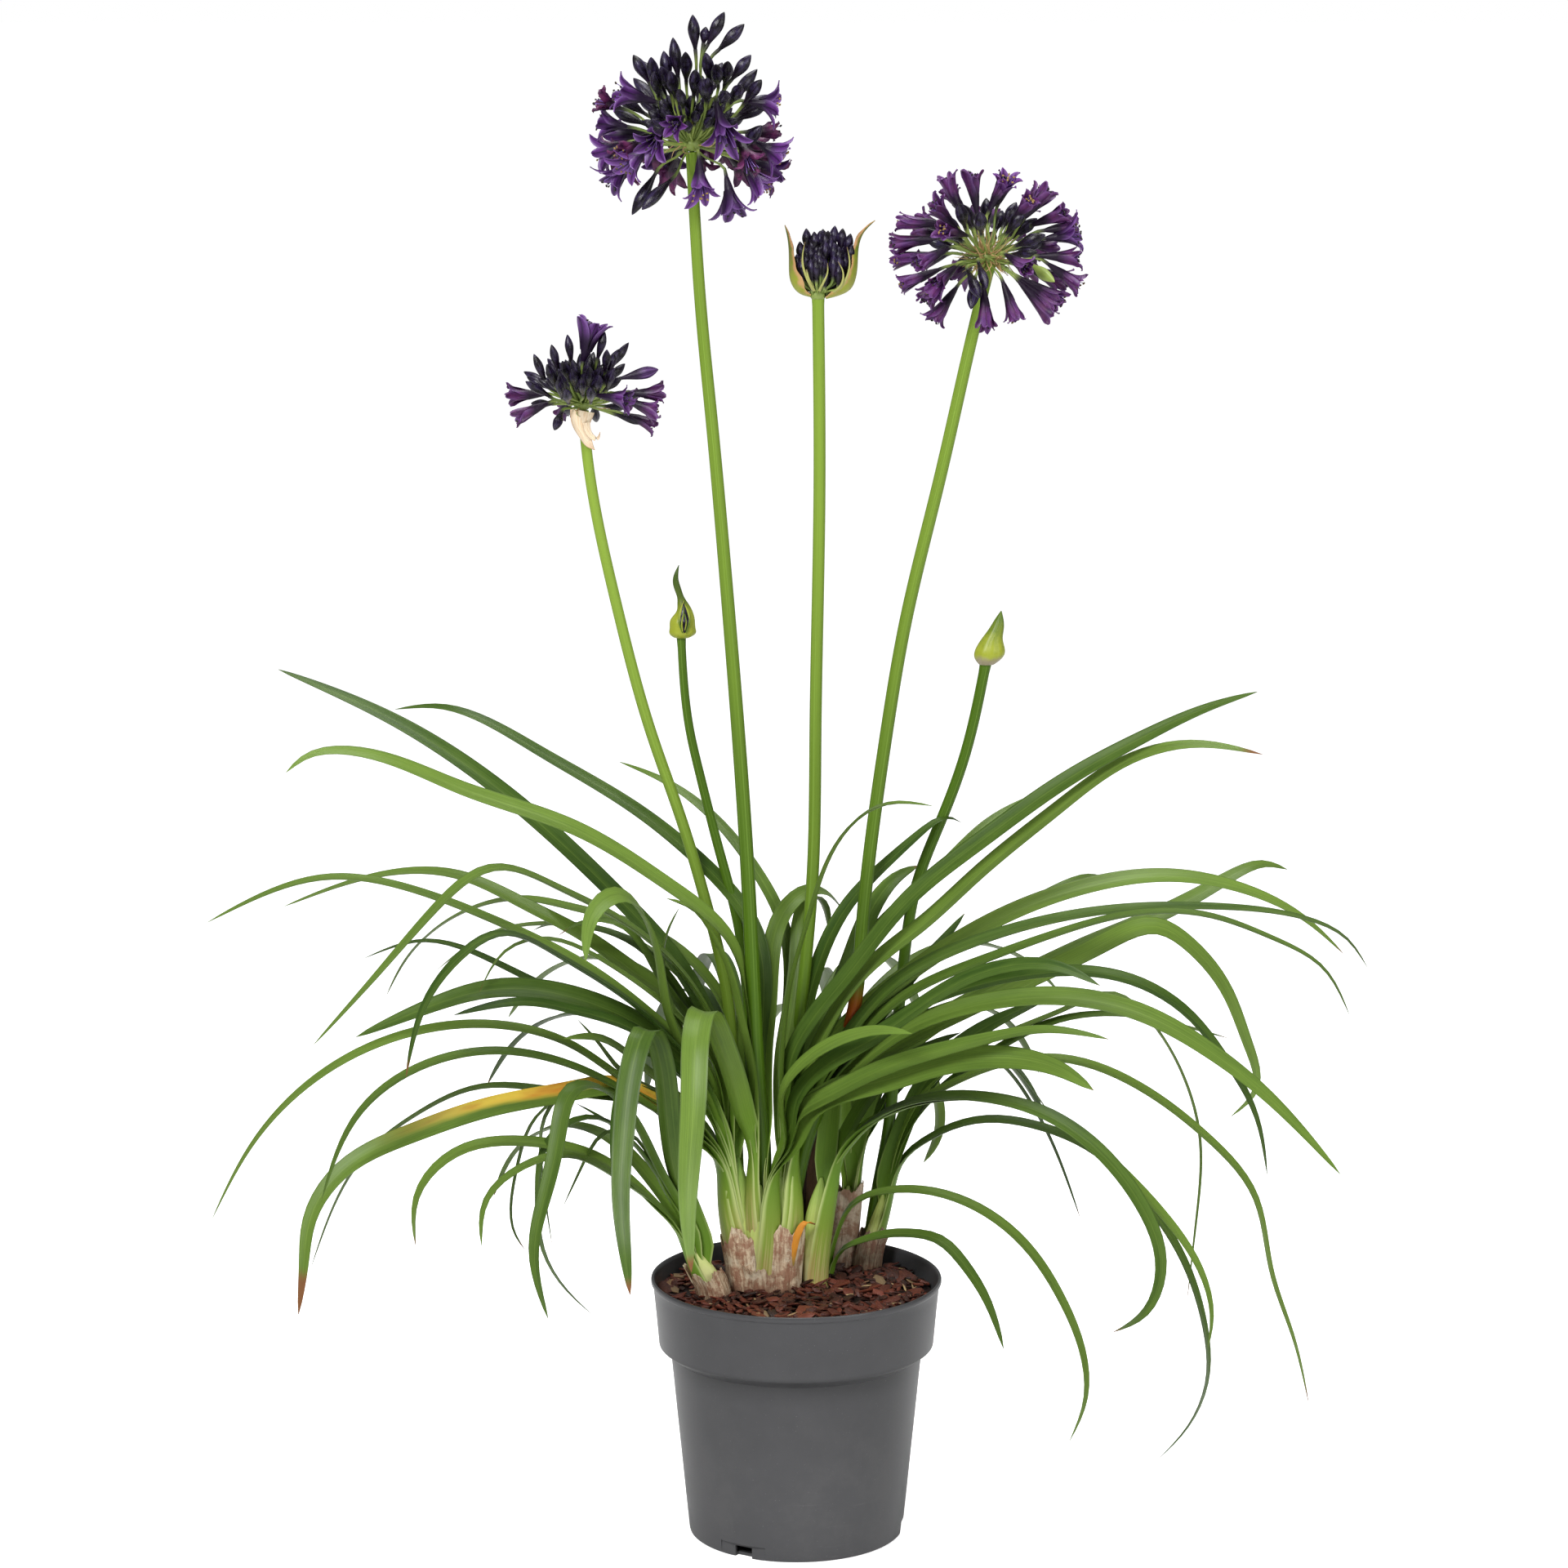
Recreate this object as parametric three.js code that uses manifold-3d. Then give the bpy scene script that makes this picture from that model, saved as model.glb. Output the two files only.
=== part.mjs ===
// An agapanthus in its nursery pot. Millimetres, +Z up, origin at the middle of the pot's underside.
// Leaves, flower stalks and flower heads are grouped by the shoot that they grow from.
import * as THREE from "three";
import { mergeVertices } from "three/addons/utils/BufferGeometryUtils.js";
import Module from "manifold-3d";

const wasm = await Module();
wasm.setup();

// ---- Driving dimensions ----------------------------------------------------------------------
const CLEARANCE = 0.3; // between neighbouring pieces

const POT_SIDES = 30;
const POT_HEIGHT = 208.5;
const RIM_RADIUS = 115;
const RIM_BEAD = 2;
const COLLAR_TOP_RADIUS = 113.3;
const COLLAR_FOOT_RADIUS = 109;
const COLLAR_HEIGHT = 50;
const BODY_TOP_RADIUS = 99.5;
const BASE_RADIUS = 85;
const POT_WALL = 1.6;
const FOOT_INSET = 4.5; // the wall is thicker round the foot, behind the drain notches
const FOOT_HEIGHT = 13;
const FLOOR_THICKNESS = 2.5;
const NOTCH_ANGLES = [-120, 0, 120];
const RECESS = { width: 40, height: 11.5, depth: 2.4 };
const DRAIN = { width: 15, height: 9, depth: 14 };

const SOIL_LEVEL = 195;
const SOIL_MOUND = 3;
const BARK_RELIEF = 3.2;
const BARK_RINGS = [99, 82, 65, 47, 27];
const BARK_SHIFT = 3.5; // how far a chip lies off its ring

const BLADE_THICKNESS = 1.5;
const SLIM_THICKNESS = 1.2;
const BLADE_STATION = 80; // one cross-section for about this much of a blade's length
const BLADE_EASE = 1.3; // how late a blade leaves its root's plane
const SLIM_WIDTH = 9; // a blade under this width has a plain three-sided section
const BLUNT_WIDTH = 12; // and one from this width up has a blunter tip
const BLUNT_STATION = 0.955;
const BLADE_FULL_FROM = 0.4; // share of its length where a blade reaches its full width
const BLADE_ROOT_WIDTH = 0.5; // as a share of the full width
const BLADE_TAPER = 2.4; // how late it narrows to its tip
const CHANNEL = { root: 0.42, tip: 0.12 }; // depth of the fold, as a share of half the width
const FULL_SPREAD = 250; // a tip this far back or forward roots at the edge of its shoot

const COLUMN_SIDES = 9;
const STALK_SIDES = 7;
const STALK_STATIONS = 6;

const SHEATH_THICKNESS = 1.4;
const SHEATH_TEAR = 14; // how unevenly the top is torn
const BRACT_THICKNESS = 1.2;

const PEDICEL_RADIUS = 1.2;
const PEDICEL_FLARE = 1.35; // how much wider it is where it meets its floret
const PEDICEL_REACH = 46; // from the head's centre to a floret's foot, on the largest head
const FLORET_REACH = 80; // and to its tip
const GOLDEN_SHARE = 0.618;

// ---- Solids ----------------------------------------------------------------------------------
// A closed mesh as a solid. Faces that point inwards are turned round.
function solidOf(geometry) {
  const bare = geometry.clone();
  bare.deleteAttribute("normal");
  bare.deleteAttribute("uv");
  const merged = mergeVertices(bare, 1e-4);
  const vertProperties = new Float32Array(merged.attributes.position.array);
  const triVerts = new Uint32Array(merged.index.array);
  const made = new wasm.Manifold(new wasm.Mesh({ numProp: 3, vertProperties, triVerts }));
  if (made.volume() > 0) return made;
  for (let i = 0; i < triVerts.length; i += 3) {
    [triVerts[i + 1], triVerts[i + 2]] = [triVerts[i + 2], triVerts[i + 1]];
  }
  return new wasm.Manifold(new wasm.Mesh({ numProp: 3, vertProperties, triVerts }));
}

// A skin over rings of points. A ring of one point is a tip, any other end ring is capped, and a
// ring may have an even multiple of the points before it. The two faces of a thin section are
// split along the same diagonals.
function loft(rings) {
  const positions = rings.flat().flatMap((p) => [p.x, p.y, p.z]);
  const index = [];
  const starts = [];
  let count = 0;
  for (const ring of rings) {
    starts.push(count);
    count += ring.length;
  }
  for (let i = 0; i + 1 < rings.length; i++) {
    const from = rings[i].length;
    const to = rings[i + 1].length;
    const here = (m) => starts[i] + (m % from);
    const next = (m) => starts[i + 1] + (m % to);
    if (from > 1 && to > from) {
      const share = to / from;
      for (let j = 0; j < from; j++) {
        const middle = j * share + share / 2;
        index.push(here(j), here(j + 1), next(middle));
        for (let m = j * share; m < (j + 1) * share; m++) {
          index.push(here(m < middle ? j : j + 1), next(m + 1), next(m));
        }
      }
      continue;
    }
    const n = Math.max(from, to);
    for (let j = 0; j < n; j++) {
      const k = j + 1;
      const faces =
        j < n / 2
          ? [[here(j), here(k), next(k)], [here(j), next(k), next(j)]]
          : [[here(j), here(k), next(j)], [here(k), next(k), next(j)]];
      index.push(...faces.filter(([a, b, c]) => a !== b && b !== c && a !== c).flat());
    }
  }
  const cap = (ring, start, forward) => {
    for (let j = 1; j + 1 < ring.length; j++) {
      const [a, b, c] = [1, (j + 1) % ring.length, (j + 2) % ring.length].map((m) => start + m);
      index.push(...(forward ? [a, b, c] : [a, c, b]));
    }
  };
  cap(rings[0], starts[0], false);
  cap(rings.at(-1), starts.at(-1), true);
  const geometry = new THREE.BufferGeometry();
  geometry.setAttribute("position", new THREE.Float32BufferAttribute(positions, 3));
  geometry.setIndex(index);
  return solidOf(geometry);
}

function join(solids) {
  return solids.reduce((whole, solid) => whole.add(solid));
}

function cutBy(solid, cutters) {
  return cutters.reduce((left, cutter) => left.subtract(cutter), solid);
}

// The outer body of a solid, without the scraps that a cut leaves, and with sealed hollows filled.
function mainBody(solid) {
  return solid.decompose().sort((a, b) => b.volume() - a.volume())[0];
}

function seeded(seed) {
  let state = seed;
  return () => {
    state = (state * 1664525 + 1013904223) % 4294967296;
    return state / 4294967296;
  };
}

const point = (x, y, z) => new THREE.Vector3(x, y, z);
const EAST = point(1, 0, 0);
const NORTH = point(0, 1, 0);
const UP = point(0, 0, 1);
const mix = (a, b, t) => a + (b - a) * t;

// A closed ring of points about a centre, in the plane of two directions.
function ringAbout(centre, u, v, radiusU, radiusV, sides) {
  return Array.from({ length: sides }, (_, i) => {
    const angle = (2 * Math.PI * i) / sides;
    return centre
      .clone()
      .addScaledVector(u, radiusU * Math.cos(angle))
      .addScaledVector(v, radiusV * Math.sin(angle));
  });
}

// A round tapering stem along a path, grown by an allowance on every side.
function stem(path, rootRadius, tipRadius, sides, stations, allowance = 0) {
  const curve = new THREE.CatmullRomCurve3(path.map((p) => point(...p)));
  const rings = [];
  for (let i = 0; i <= stations; i++) {
    const t = i / stations;
    const along = curve.getTangentAt(t);
    const centre = curve.getPointAt(t);
    if (i === 0) centre.addScaledVector(along, -allowance);
    if (i === stations) centre.addScaledVector(along, allowance);
    const u = EAST.clone().addScaledVector(along, -along.x).normalize();
    const v = along.clone().cross(u);
    const radius = mix(rootRadius, tipRadius, t) + allowance;
    rings.push(ringAbout(centre, u, v, radius, radius, sides));
  }
  return loft(rings);
}

// The rings of an upright oval column from rows of [x, y, z, half width, half depth].
function columnRings(rows, allowance, sides) {
  return rows.map(([x, y, z, a, b]) =>
    a > 0 ? ringAbout(point(x, y, z), EAST, NORTH, a + allowance, b + allowance, sides) : [point(x, y, z)],
  );
}

function column(rows, allowance = 0, sides = COLUMN_SIDES) {
  return loft(columnRings(rows, allowance, sides));
}

// ---- Pot: one moulding with a rolled rim, a deep collar and three drain notches at the foot -------
const COLLAR_TOP = POT_HEIGHT - 5;
const COLLAR_FOOT = POT_HEIGHT - COLLAR_HEIGHT;
const BODY_TOP = COLLAR_FOOT - 11;
const COLLAR_ROUND = [
  [4.8, 1.6],
  [8.4, 5.4],
]; // out from the body's top, and up
const INNER = {
  collarTop: COLLAR_TOP_RADIUS - POT_WALL,
  collarFoot: COLLAR_FOOT_RADIUS - POT_WALL,
  bodyTop: BODY_TOP_RADIUS - POT_WALL,
  foot: BASE_RADIUS - FOOT_INSET,
};
const bodyRadius = (z) => mix(BASE_RADIUS, BODY_TOP_RADIUS, z / BODY_TOP);

function makePot() {
  const outline = [
    [0, 0],
    [BASE_RADIUS - 2.5, 0],
    [BASE_RADIUS, 2.5],
    [BODY_TOP_RADIUS, BODY_TOP],
    ...COLLAR_ROUND.map(([out, up]) => [BODY_TOP_RADIUS + out, BODY_TOP + up]),
    [COLLAR_FOOT_RADIUS, COLLAR_FOOT],
    [COLLAR_TOP_RADIUS, COLLAR_TOP],
    [RIM_RADIUS, COLLAR_TOP + RIM_BEAD],
    [RIM_RADIUS - 1, POT_HEIGHT],
    [INNER.collarTop, POT_HEIGHT - 0.6],
    [INNER.collarFoot, COLLAR_FOOT],
    [INNER.bodyTop, BODY_TOP],
    [bodyRadius(FOOT_HEIGHT + 4) - POT_WALL, FOOT_HEIGHT + 4],
    [INNER.foot, FOOT_HEIGHT],
    [INNER.foot, FLOOR_THICKNESS],
    [0, FLOOR_THICKNESS],
  ];
  const lathe = new THREE.LatheGeometry(
    outline.map(([r, z]) => new THREE.Vector2(r, z)),
    POT_SIDES,
    Math.PI / 2,
  ).rotateX(Math.PI / 2);
  let pot = solidOf(lathe);
  for (const angle of NOTCH_ANGLES) {
    const turn = THREE.MathUtils.degToRad(angle);
    const recess = new THREE.BoxGeometry(2 * RECESS.depth, RECESS.width, 2 * RECESS.height)
      .translate(BASE_RADIUS, 0, 0)
      .rotateZ(turn);
    const drain = new THREE.BoxGeometry(DRAIN.depth, DRAIN.width, 2 * DRAIN.height)
      .translate(BASE_RADIUS, 0, 0)
      .rotateZ(turn);
    pot = pot.subtract(solidOf(recess)).subtract(solidOf(drain));
  }
  return pot;
}

// ---- Soil: bark compost that fills the pot, its chips raised from the surface ---------------------
function makeSoil(holes) {
  const random = seeded(11);
  const level = (radius, z) => ringAbout(point(0, 0, z), EAST, NORTH, radius, radius, POT_SIDES);
  const sides = [
    [INNER.foot - 0.4, FLOOR_THICKNESS + CLEARANCE],
    [INNER.foot - 0.4, FOOT_HEIGHT + 0.2],
    [bodyRadius(FOOT_HEIGHT + 4) - POT_WALL - 0.5, FOOT_HEIGHT + 4.4],
    [INNER.bodyTop - 0.4, BODY_TOP + 0.1],
    [INNER.collarFoot - 0.7, COLLAR_FOOT + 0.6],
    [mix(INNER.collarFoot, INNER.collarTop, 0.72) - 0.4, SOIL_LEVEL - 4],
  ].map(([radius, z]) => level(radius, z));
  const bark = BARK_RINGS.map((radius) => {
    const mound = SOIL_LEVEL + SOIL_MOUND * (1 - (radius / RIM_RADIUS) ** 2);
    return level(radius, mound).map((p) => {
      const shift = 1 + ((random() - 0.5) * 2 * BARK_SHIFT) / radius;
      return point(p.x * shift, p.y * shift, p.z + (random() - 0.5) * 2 * BARK_RELIEF);
    });
  });
  const foot = [point(0, 0, FLOOR_THICKNESS + CLEARANCE)];
  const crown = [point(0, 0, SOIL_LEVEL + SOIL_MOUND)];
  const whole = loft([foot, ...sides, ...bark, crown]);
  return mainBody(cutBy(whole, holes));
}

// ---- Leaves ---------------------------------------------------------------------------------------
// One strap leaf. Its tip lies reachY behind (+Y) or before the middle of its shoot, and it roots
// on the same side. The path gives [x, z] from root to tip. Turn is how far the upper face looks
// to the front, in degrees at root and tip.
function leaf({ middleY, rootSpread }, [reachY, width, turn, path]) {
  const last = path.length - 1;
  const rootY = middleY + rootSpread * THREE.MathUtils.clamp(reachY / FULL_SPREAD, -1, 1);
  const tipY = middleY + reachY;
  const curve = new THREE.CatmullRomCurve3(
    path.map(([x, z], i) => point(x, mix(rootY, tipY, (i / last) ** BLADE_EASE), z)),
  );
  const heading = curve.points[last].clone().sub(curve.points[0]).setZ(0).normalize();
  const across = heading.clone().cross(UP);
  const frontward = across.y > 0 ? -1 : 1;
  const spans = Math.min(7, Math.max(4, Math.round(curve.getLength() / BLADE_STATION)));
  const stations = [...Array(spans).keys()].map((i) => i / spans);
  if (width >= BLUNT_WIDTH) stations.push(BLUNT_STATION);
  const slim = width < SLIM_WIDTH;
  const thickness = slim ? SLIM_THICKNESS : BLADE_THICKNESS;
  const rings = stations.map((t) => {
    const along = curve.getTangentAt(t);
    const centre = curve.getPointAt(t);
    const side = across.clone().addScaledVector(along, -along.dot(across)).normalize();
    const normal = side.clone().cross(along);
    const roll = THREE.MathUtils.degToRad(mix(turn[0], turn[1], t)) * frontward;
    const face = normal.clone().multiplyScalar(Math.cos(roll)).addScaledVector(side, Math.sin(roll));
    const edge = side.clone().multiplyScalar(Math.cos(roll)).addScaledVector(normal, -Math.sin(roll));
    const half = (width / 2) * bladeWidth(t);
    const channel = half * mix(CHANNEL.root, CHANNEL.tip, t);
    const ring = [
      centre.clone().addScaledVector(edge, half).addScaledVector(face, channel),
      centre.clone().addScaledVector(edge, -half).addScaledVector(face, channel),
      centre.clone().addScaledVector(face, -thickness / 2),
    ];
    if (!slim) ring.splice(1, 0, centre.clone().addScaledVector(face, thickness / 2));
    return ring;
  });
  return loft([...rings, [curve.getPointAt(1)]]);
}

// Share of the full width along a blade: a little narrower at the root, tapering late to the tip.
function bladeWidth(t) {
  if (t < BLADE_FULL_FROM) return mix(BLADE_ROOT_WIDTH, 1, t / BLADE_FULL_FROM);
  return Math.sqrt(1 - ((t - BLADE_FULL_FROM) / (1 - BLADE_FULL_FROM)) ** BLADE_TAPER);
}

// Rows: [reachY, width, [turn at root, turn at tip], path of [x, z]]
const LEFT_FAN_LEAVES = [
  // upper left
  [75, 17, [20, 30], [
    [-37, 321], [-61, 392], [-93, 453], [-135, 500], [-241, 596], [-318, 644], [-409, 682]
  ]],
  [-90, 16, [15, 40], [
    [-33, 323], [-38, 429], [-54, 485], [-98, 527], [-172, 576], [-258, 610], [-331, 638], [-387, 632]
  ]],
  [110, 18, [20, 30], [
    [-31, 323], [-27, 411], [-32, 478], [-74, 532], [-126, 572], [-203, 616], [-280, 649], [-320, 644]
  ]],
  // middle left
  [-80, 14, [10, 15], [
    [-39, 317], [-67, 369], [-112, 418], [-162, 460], [-237, 502], [-299, 529], [-360, 541],
    [-452, 509]
  ]],
  [90, 16, [15, 15], [
    [-39, 317], [-61, 384], [-87, 418], [-119, 438], [-164, 468], [-216, 494], [-268, 515],
    [-321, 515], [-411, 485]
  ]],
  [-145, 14, [10, 5], [
    [-40, 317], [-67, 417], [-98, 467], [-142, 506], [-184, 532], [-233, 551], [-275, 524],
    [-318, 478], [-366, 428]
  ]],
  [140, 11, [10, 5], [
    [-38, 320], [-61, 428], [-113, 475], [-178, 492], [-218, 495], [-271, 478], [-312, 441],
    [-334, 400]
  ]],
  [60, 10, [10, 10], [
    [-40, 317], [-80, 372], [-138, 409], [-196, 432], [-241, 452], [-293, 466], [-345, 449]
  ]],
  [-170, 13, [10, 5], [
    [-40, 313], [-67, 363], [-99, 407], [-136, 445], [-185, 482], [-227, 503], [-257, 489],
    [-281, 459], [-294, 410]
  ]],
  [120, 10, [5, 5], [[-39, 317], [-74, 422], [-132, 468], [-191, 476], [-245, 463], [-291, 426]]],
  [-30, 8, [10, 10], [[-39, 317], [-80, 402], [-150, 462], [-200, 482], [-225, 475], [-247, 443]]],
  // broad ones low on the left
  [-40, 19, [30, 40], [
    [-43, 313], [-80, 375], [-125, 412], [-175, 435], [-238, 443], [-289, 430], [-343, 409]
  ]],
  [-105, 14, [20, 30], [[-44, 310], [-87, 369], [-124, 411], [-174, 434], [-210, 446], [-262, 442]]],
  [-70, 11, [10, 15], [
    [-48, 306], [-93, 339], [-140, 370], [-176, 397], [-245, 416], [-302, 411], [-365, 384],
    [-423, 328], [-455, 270]
  ]],
  [-120, 12, [5, 15], [
    [-48, 303], [-100, 337], [-150, 370], [-187, 390], [-237, 402], [-299, 390], [-336, 363],
    [-364, 301]
  ]],
  [42, 9, [10, 10], [
    [-45, 306], [-94, 339], [-146, 347], [-191, 351], [-250, 353], [-302, 329], [-343, 295],
    [-390, 198]
  ]],
  // thin ones that hang at their ends
  [62, 8, [0, 0], [
    [-45, 306], [-113, 348], [-165, 351], [-203, 332], [-222, 287], [-227, 228], [-219, 208]
  ]],
  [-35, 7, [0, 0], [[-46, 306], [-113, 358], [-168, 366], [-196, 342], [-200, 300], [-192, 239]]],
  [-128, 8, [0, 0], [[-47, 308], [-100, 380], [-128, 396], [-137, 373], [-140, 360], [-142, 332]]],
  // short and young
  [-150, 15, [0, 0], [
    [-45, 310], [-80, 376], [-102, 427], [-108, 472], [-118, 513], [-136, 534], [-154, 526],
    [-159, 494]
  ]],
  [-30, 11, [30, 40], [[-48, 316], [-80, 382], [-100, 430], [-105, 464], [-101, 488], [-91, 510]]],
  [15, 10, [20, 20], [[-38, 320], [-75, 400], [-110, 450], [-137, 487], [-169, 489], [-187, 478]]],
  [95, 9, [10, 10], [[-38, 320], [-80, 410], [-125, 465], [-166, 477], [-198, 474], [-212, 464]]],
  [-60, 18, [10, 20], [
    [-32, 320], [-37, 381], [-45, 422], [-54, 464], [-66, 493], [-79, 514], [-100, 526]
  ]],
  [-75, 14, [20, 20], [[-48, 303], [-93, 353], [-127, 386], [-149, 406], [-164, 413], [-180, 416]]],
  [-10, 9, [10, 10], [[-47, 305], [-100, 350], [-139, 373], [-155, 395], [-172, 416]]],
  // the broad leaf that arches over the front
  [-205, 20, [0, 0], [
    [-34, 314], [-45, 360], [-59, 407], [-71, 437], [-76, 430], [-78, 392], [-80, 354], [-82, 313],
    [-79, 271]
  ]],
  // back
  [330, 16, [0, 0], [[-40, 315], [-55, 375], [-75, 405], [-95, 395], [-115, 345], [-128, 270]]],
  [300, 15, [0, 0], [[-38, 318], [-45, 385], [-55, 425], [-68, 430], [-80, 395], [-90, 330]]],
  [230, 15, [0, 0], [[-42, 315], [-75, 385], [-115, 425], [-160, 435], [-205, 410], [-240, 360]]],
  [180, 14, [0, 0], [[-44, 312], [-85, 365], [-130, 392], [-180, 395], [-225, 365], [-255, 315]]],
  [120, 8, [0, 0], [[-34, 320], [-29, 448], [-16, 490], [6, 504], [26, 494], [37, 479]]],
];
const YELLOW_LEAF = [-98, 17, [25, 50], [
  [-54, 297], [-100, 337], [-136, 362], [-176, 361], [-239, 351], [-302, 332], [-352, 308],
  [-378, 271], [-382, 240], [-386, 202]
]];

const RIGHT_FAN_LEAVES = [
  // upper right
  [-60, 19, [30, 60], [
    [-4, 318], [0, 392], [42, 453], [86, 511], [143, 561], [207, 610], [270, 648], [315, 671],
    [352, 685]
  ]],
  [-58, 17, [20, 30], [
    [-2, 318], [16, 388], [54, 453], [99, 493], [142, 535], [205, 590], [254, 627], [304, 642],
    [357, 636]
  ]],
  [138, 13, [20, 30], [[-4, 318], [16, 393], [68, 478], [114, 516], [153, 549], [195, 568]]],
  [150, 9, [10, 10], [
    [-8, 330], [-7, 416], [-10, 478], [-32, 519], [-61, 552], [-101, 579], [-143, 592]
  ]],
  [-75, 13, [20, 10], [
    [-6, 320], [-11, 388], [-3, 453], [9, 498], [23, 545], [44, 581], [69, 598], [104, 599]
  ]],
  [58, 14, [25, 15], [
    [-6, 318], [0, 384], [16, 448], [42, 502], [74, 535], [99, 556], [118, 566], [131, 560]
  ]],
  [88, 17, [30, 40], [[-5, 318], [16, 393], [42, 448], [58, 488], [78, 512], [98, 519]]],
  [105, 11, [15, 20], [
    [-4, 316], [42, 398], [94, 447], [145, 473], [197, 500], [230, 511], [246, 507]
  ]],
  // middle right
  [64, 18, [20, 25], [
    [0, 318], [22, 384], [64, 426], [112, 461], [170, 493], [234, 514], [292, 520], [357, 507],
    [403, 483], [437, 452]
  ]],
  [-22, 16, [20, 5], [
    [0, 316], [29, 381], [73, 438], [143, 477], [207, 496], [270, 505], [333, 506], [397, 498],
    [429, 483], [446, 460]
  ]],
  [-78, 13, [20, 5], [
    [2, 314], [35, 383], [86, 435], [143, 464], [205, 489], [268, 507], [318, 507], [368, 491],
    [406, 470], [426, 435]
  ]],
  [122, 14, [10, 10], [
    [2, 312], [55, 374], [119, 408], [184, 438], [243, 465], [283, 477], [312, 460], [344, 420],
    [364, 372], [373, 330], [355, 303]
  ]],
  [-66, 15, [15, 20], [
    [1, 312], [42, 382], [93, 424], [143, 445], [206, 457], [257, 453], [301, 430], [333, 393],
    [357, 350], [366, 305]
  ]],
  [-115, 18, [20, 30], [
    [3, 310], [48, 377], [92, 412], [142, 432], [205, 441], [267, 431], [317, 406], [360, 375],
    [391, 346], [417, 319]
  ]],
  // low right, in front
  [-135, 18, [15, 5], [
    [-11, 316], [0, 344], [22, 363], [60, 387], [104, 407], [147, 423], [190, 435], [236, 433]
  ]],
  [-72, 14, [15, 5], [[-9, 314], [16, 356], [67, 380], [117, 400], [168, 409], [199, 407], [224, 397]]],
  [-85, 14, [10, 0], [[-16, 316], [-11, 360], [3, 387], [22, 406], [44, 420], [66, 428], [88, 430]]],
  [-145, 16, [15, 5], [
    [-13, 316], [0, 356], [22, 387], [54, 410], [88, 437], [123, 465], [161, 483], [197, 487],
    [228, 477]
  ]],
  [55, 14, [30, 30], [[0, 316], [55, 402], [93, 445], [116, 468], [134, 487]]],
  [95, 15, [10, 10], [[-8, 318], [-4, 412], [2, 455], [4, 485], [12, 500], [22, 490], [26, 465]]],
  // back
  [320, 16, [0, 0], [[-8, 318], [0, 385], [10, 420], [20, 415], [30, 370], [38, 300]]],
  [290, 15, [0, 0], [[-4, 318], [15, 390], [40, 430], [65, 430], [90, 395], [110, 335]]],
  [240, 15, [0, 0], [[-2, 316], [35, 385], [80, 430], [130, 445], [180, 425], [220, 380]]],
];

const LEFT_SHOOT_LEAVES = [
  [-60, 14, [10, 20], [
    [-84, 231], [-112, 272], [-150, 309], [-212, 328], [-263, 323], [-294, 291], [-295, 255]
  ]],
  [-105, 11, [10, 10], [
    [-81, 234], [-118, 281], [-143, 302], [-174, 322], [-204, 322], [-238, 298], [-241, 268]
  ]],
  [-135, 15, [10, 0], [
    [-80, 238], [-109, 303], [-130, 350], [-154, 376], [-172, 378], [-182, 350], [-191, 309],
    [-200, 268], [-189, 219]
  ]],
  [-60, 8, [0, 0], [
    [-82, 236], [-118, 310], [-160, 345], [-192, 330], [-201, 290], [-197, 246], [-181, 219],
    [-158, 199]
  ]],
  [-25, 7, [0, 0], [[-82, 236], [-108, 292], [-130, 330], [-146, 334], [-166, 310], [-182, 277]]],
  [5, 7, [10, 10], [[-82, 236], [-112, 300], [-141, 332], [-173, 352]]],
  [-185, 18, [0, 0], [
    [-80, 234], [-94, 297], [-101, 361], [-107, 409], [-115, 428], [-125, 405], [-131, 360],
    [-133, 315], [-129, 276], [-125, 253]
  ]],
  [120, 13, [0, 0], [[-84, 232], [-115, 285], [-150, 315], [-190, 318], [-225, 290], [-245, 245]]],
];

const MIDDLE_SHOOT_LEAVES = [
  [-102, 11, [10, 10], [
    [25, 286], [48, 325], [86, 346], [143, 376], [206, 389], [269, 368], [320, 331], [356, 288],
    [369, 231], [386, 181], [398, 131]
  ]],
  [-155, 12, [10, 10], [
    [26, 283], [48, 322], [80, 346], [117, 358], [161, 360], [205, 346], [248, 315], [285, 279],
    [310, 244], [318, 214], [314, 193]
  ]],
  [-205, 14, [10, 10], [
    [25, 285], [54, 330], [98, 356], [142, 363], [191, 356], [234, 331], [264, 296], [277, 260],
    [266, 231], [238, 221]
  ]],
  [20, 15, [20, 20], [[25, 287], [43, 326], [67, 359], [96, 383], [130, 398]]],
  [26, 12, [10, 10], [[24, 290], [28, 318], [31, 344], [33, 368]]],
];

const BACK_SHOOT_LEAVES = [
  [118, 18, [20, 40], [
    [45, 283], [66, 347], [115, 391], [181, 424], [239, 449], [293, 469], [346, 494], [379, 505],
    [403, 497]
  ]],
  [92, 8, [0, 0], [[45, 283], [82, 338], [122, 363], [152, 361], [187, 323], [211, 275], [235, 208]]],
  [50, 7, [0, 0], [[45, 284], [80, 345], [120, 373], [155, 368], [185, 340], [206, 309]]],
  [110, 12, [0, 0], [
    [44, 283], [56, 335], [79, 367], [99, 364], [111, 335], [117, 307], [116, 277], [106, 251]
  ]],
  [240, 15, [0, 0], [[45, 283], [52, 340], [62, 375], [72, 375], [82, 340], [90, 280]]],
  [200, 14, [0, 0], [[46, 284], [70, 345], [105, 380], [145, 385], [180, 355], [205, 305]]],
  [170, 14, [0, 0], [[43, 283], [35, 345], [20, 380], [0, 390], [-20, 370], [-35, 325]]],
];

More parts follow.
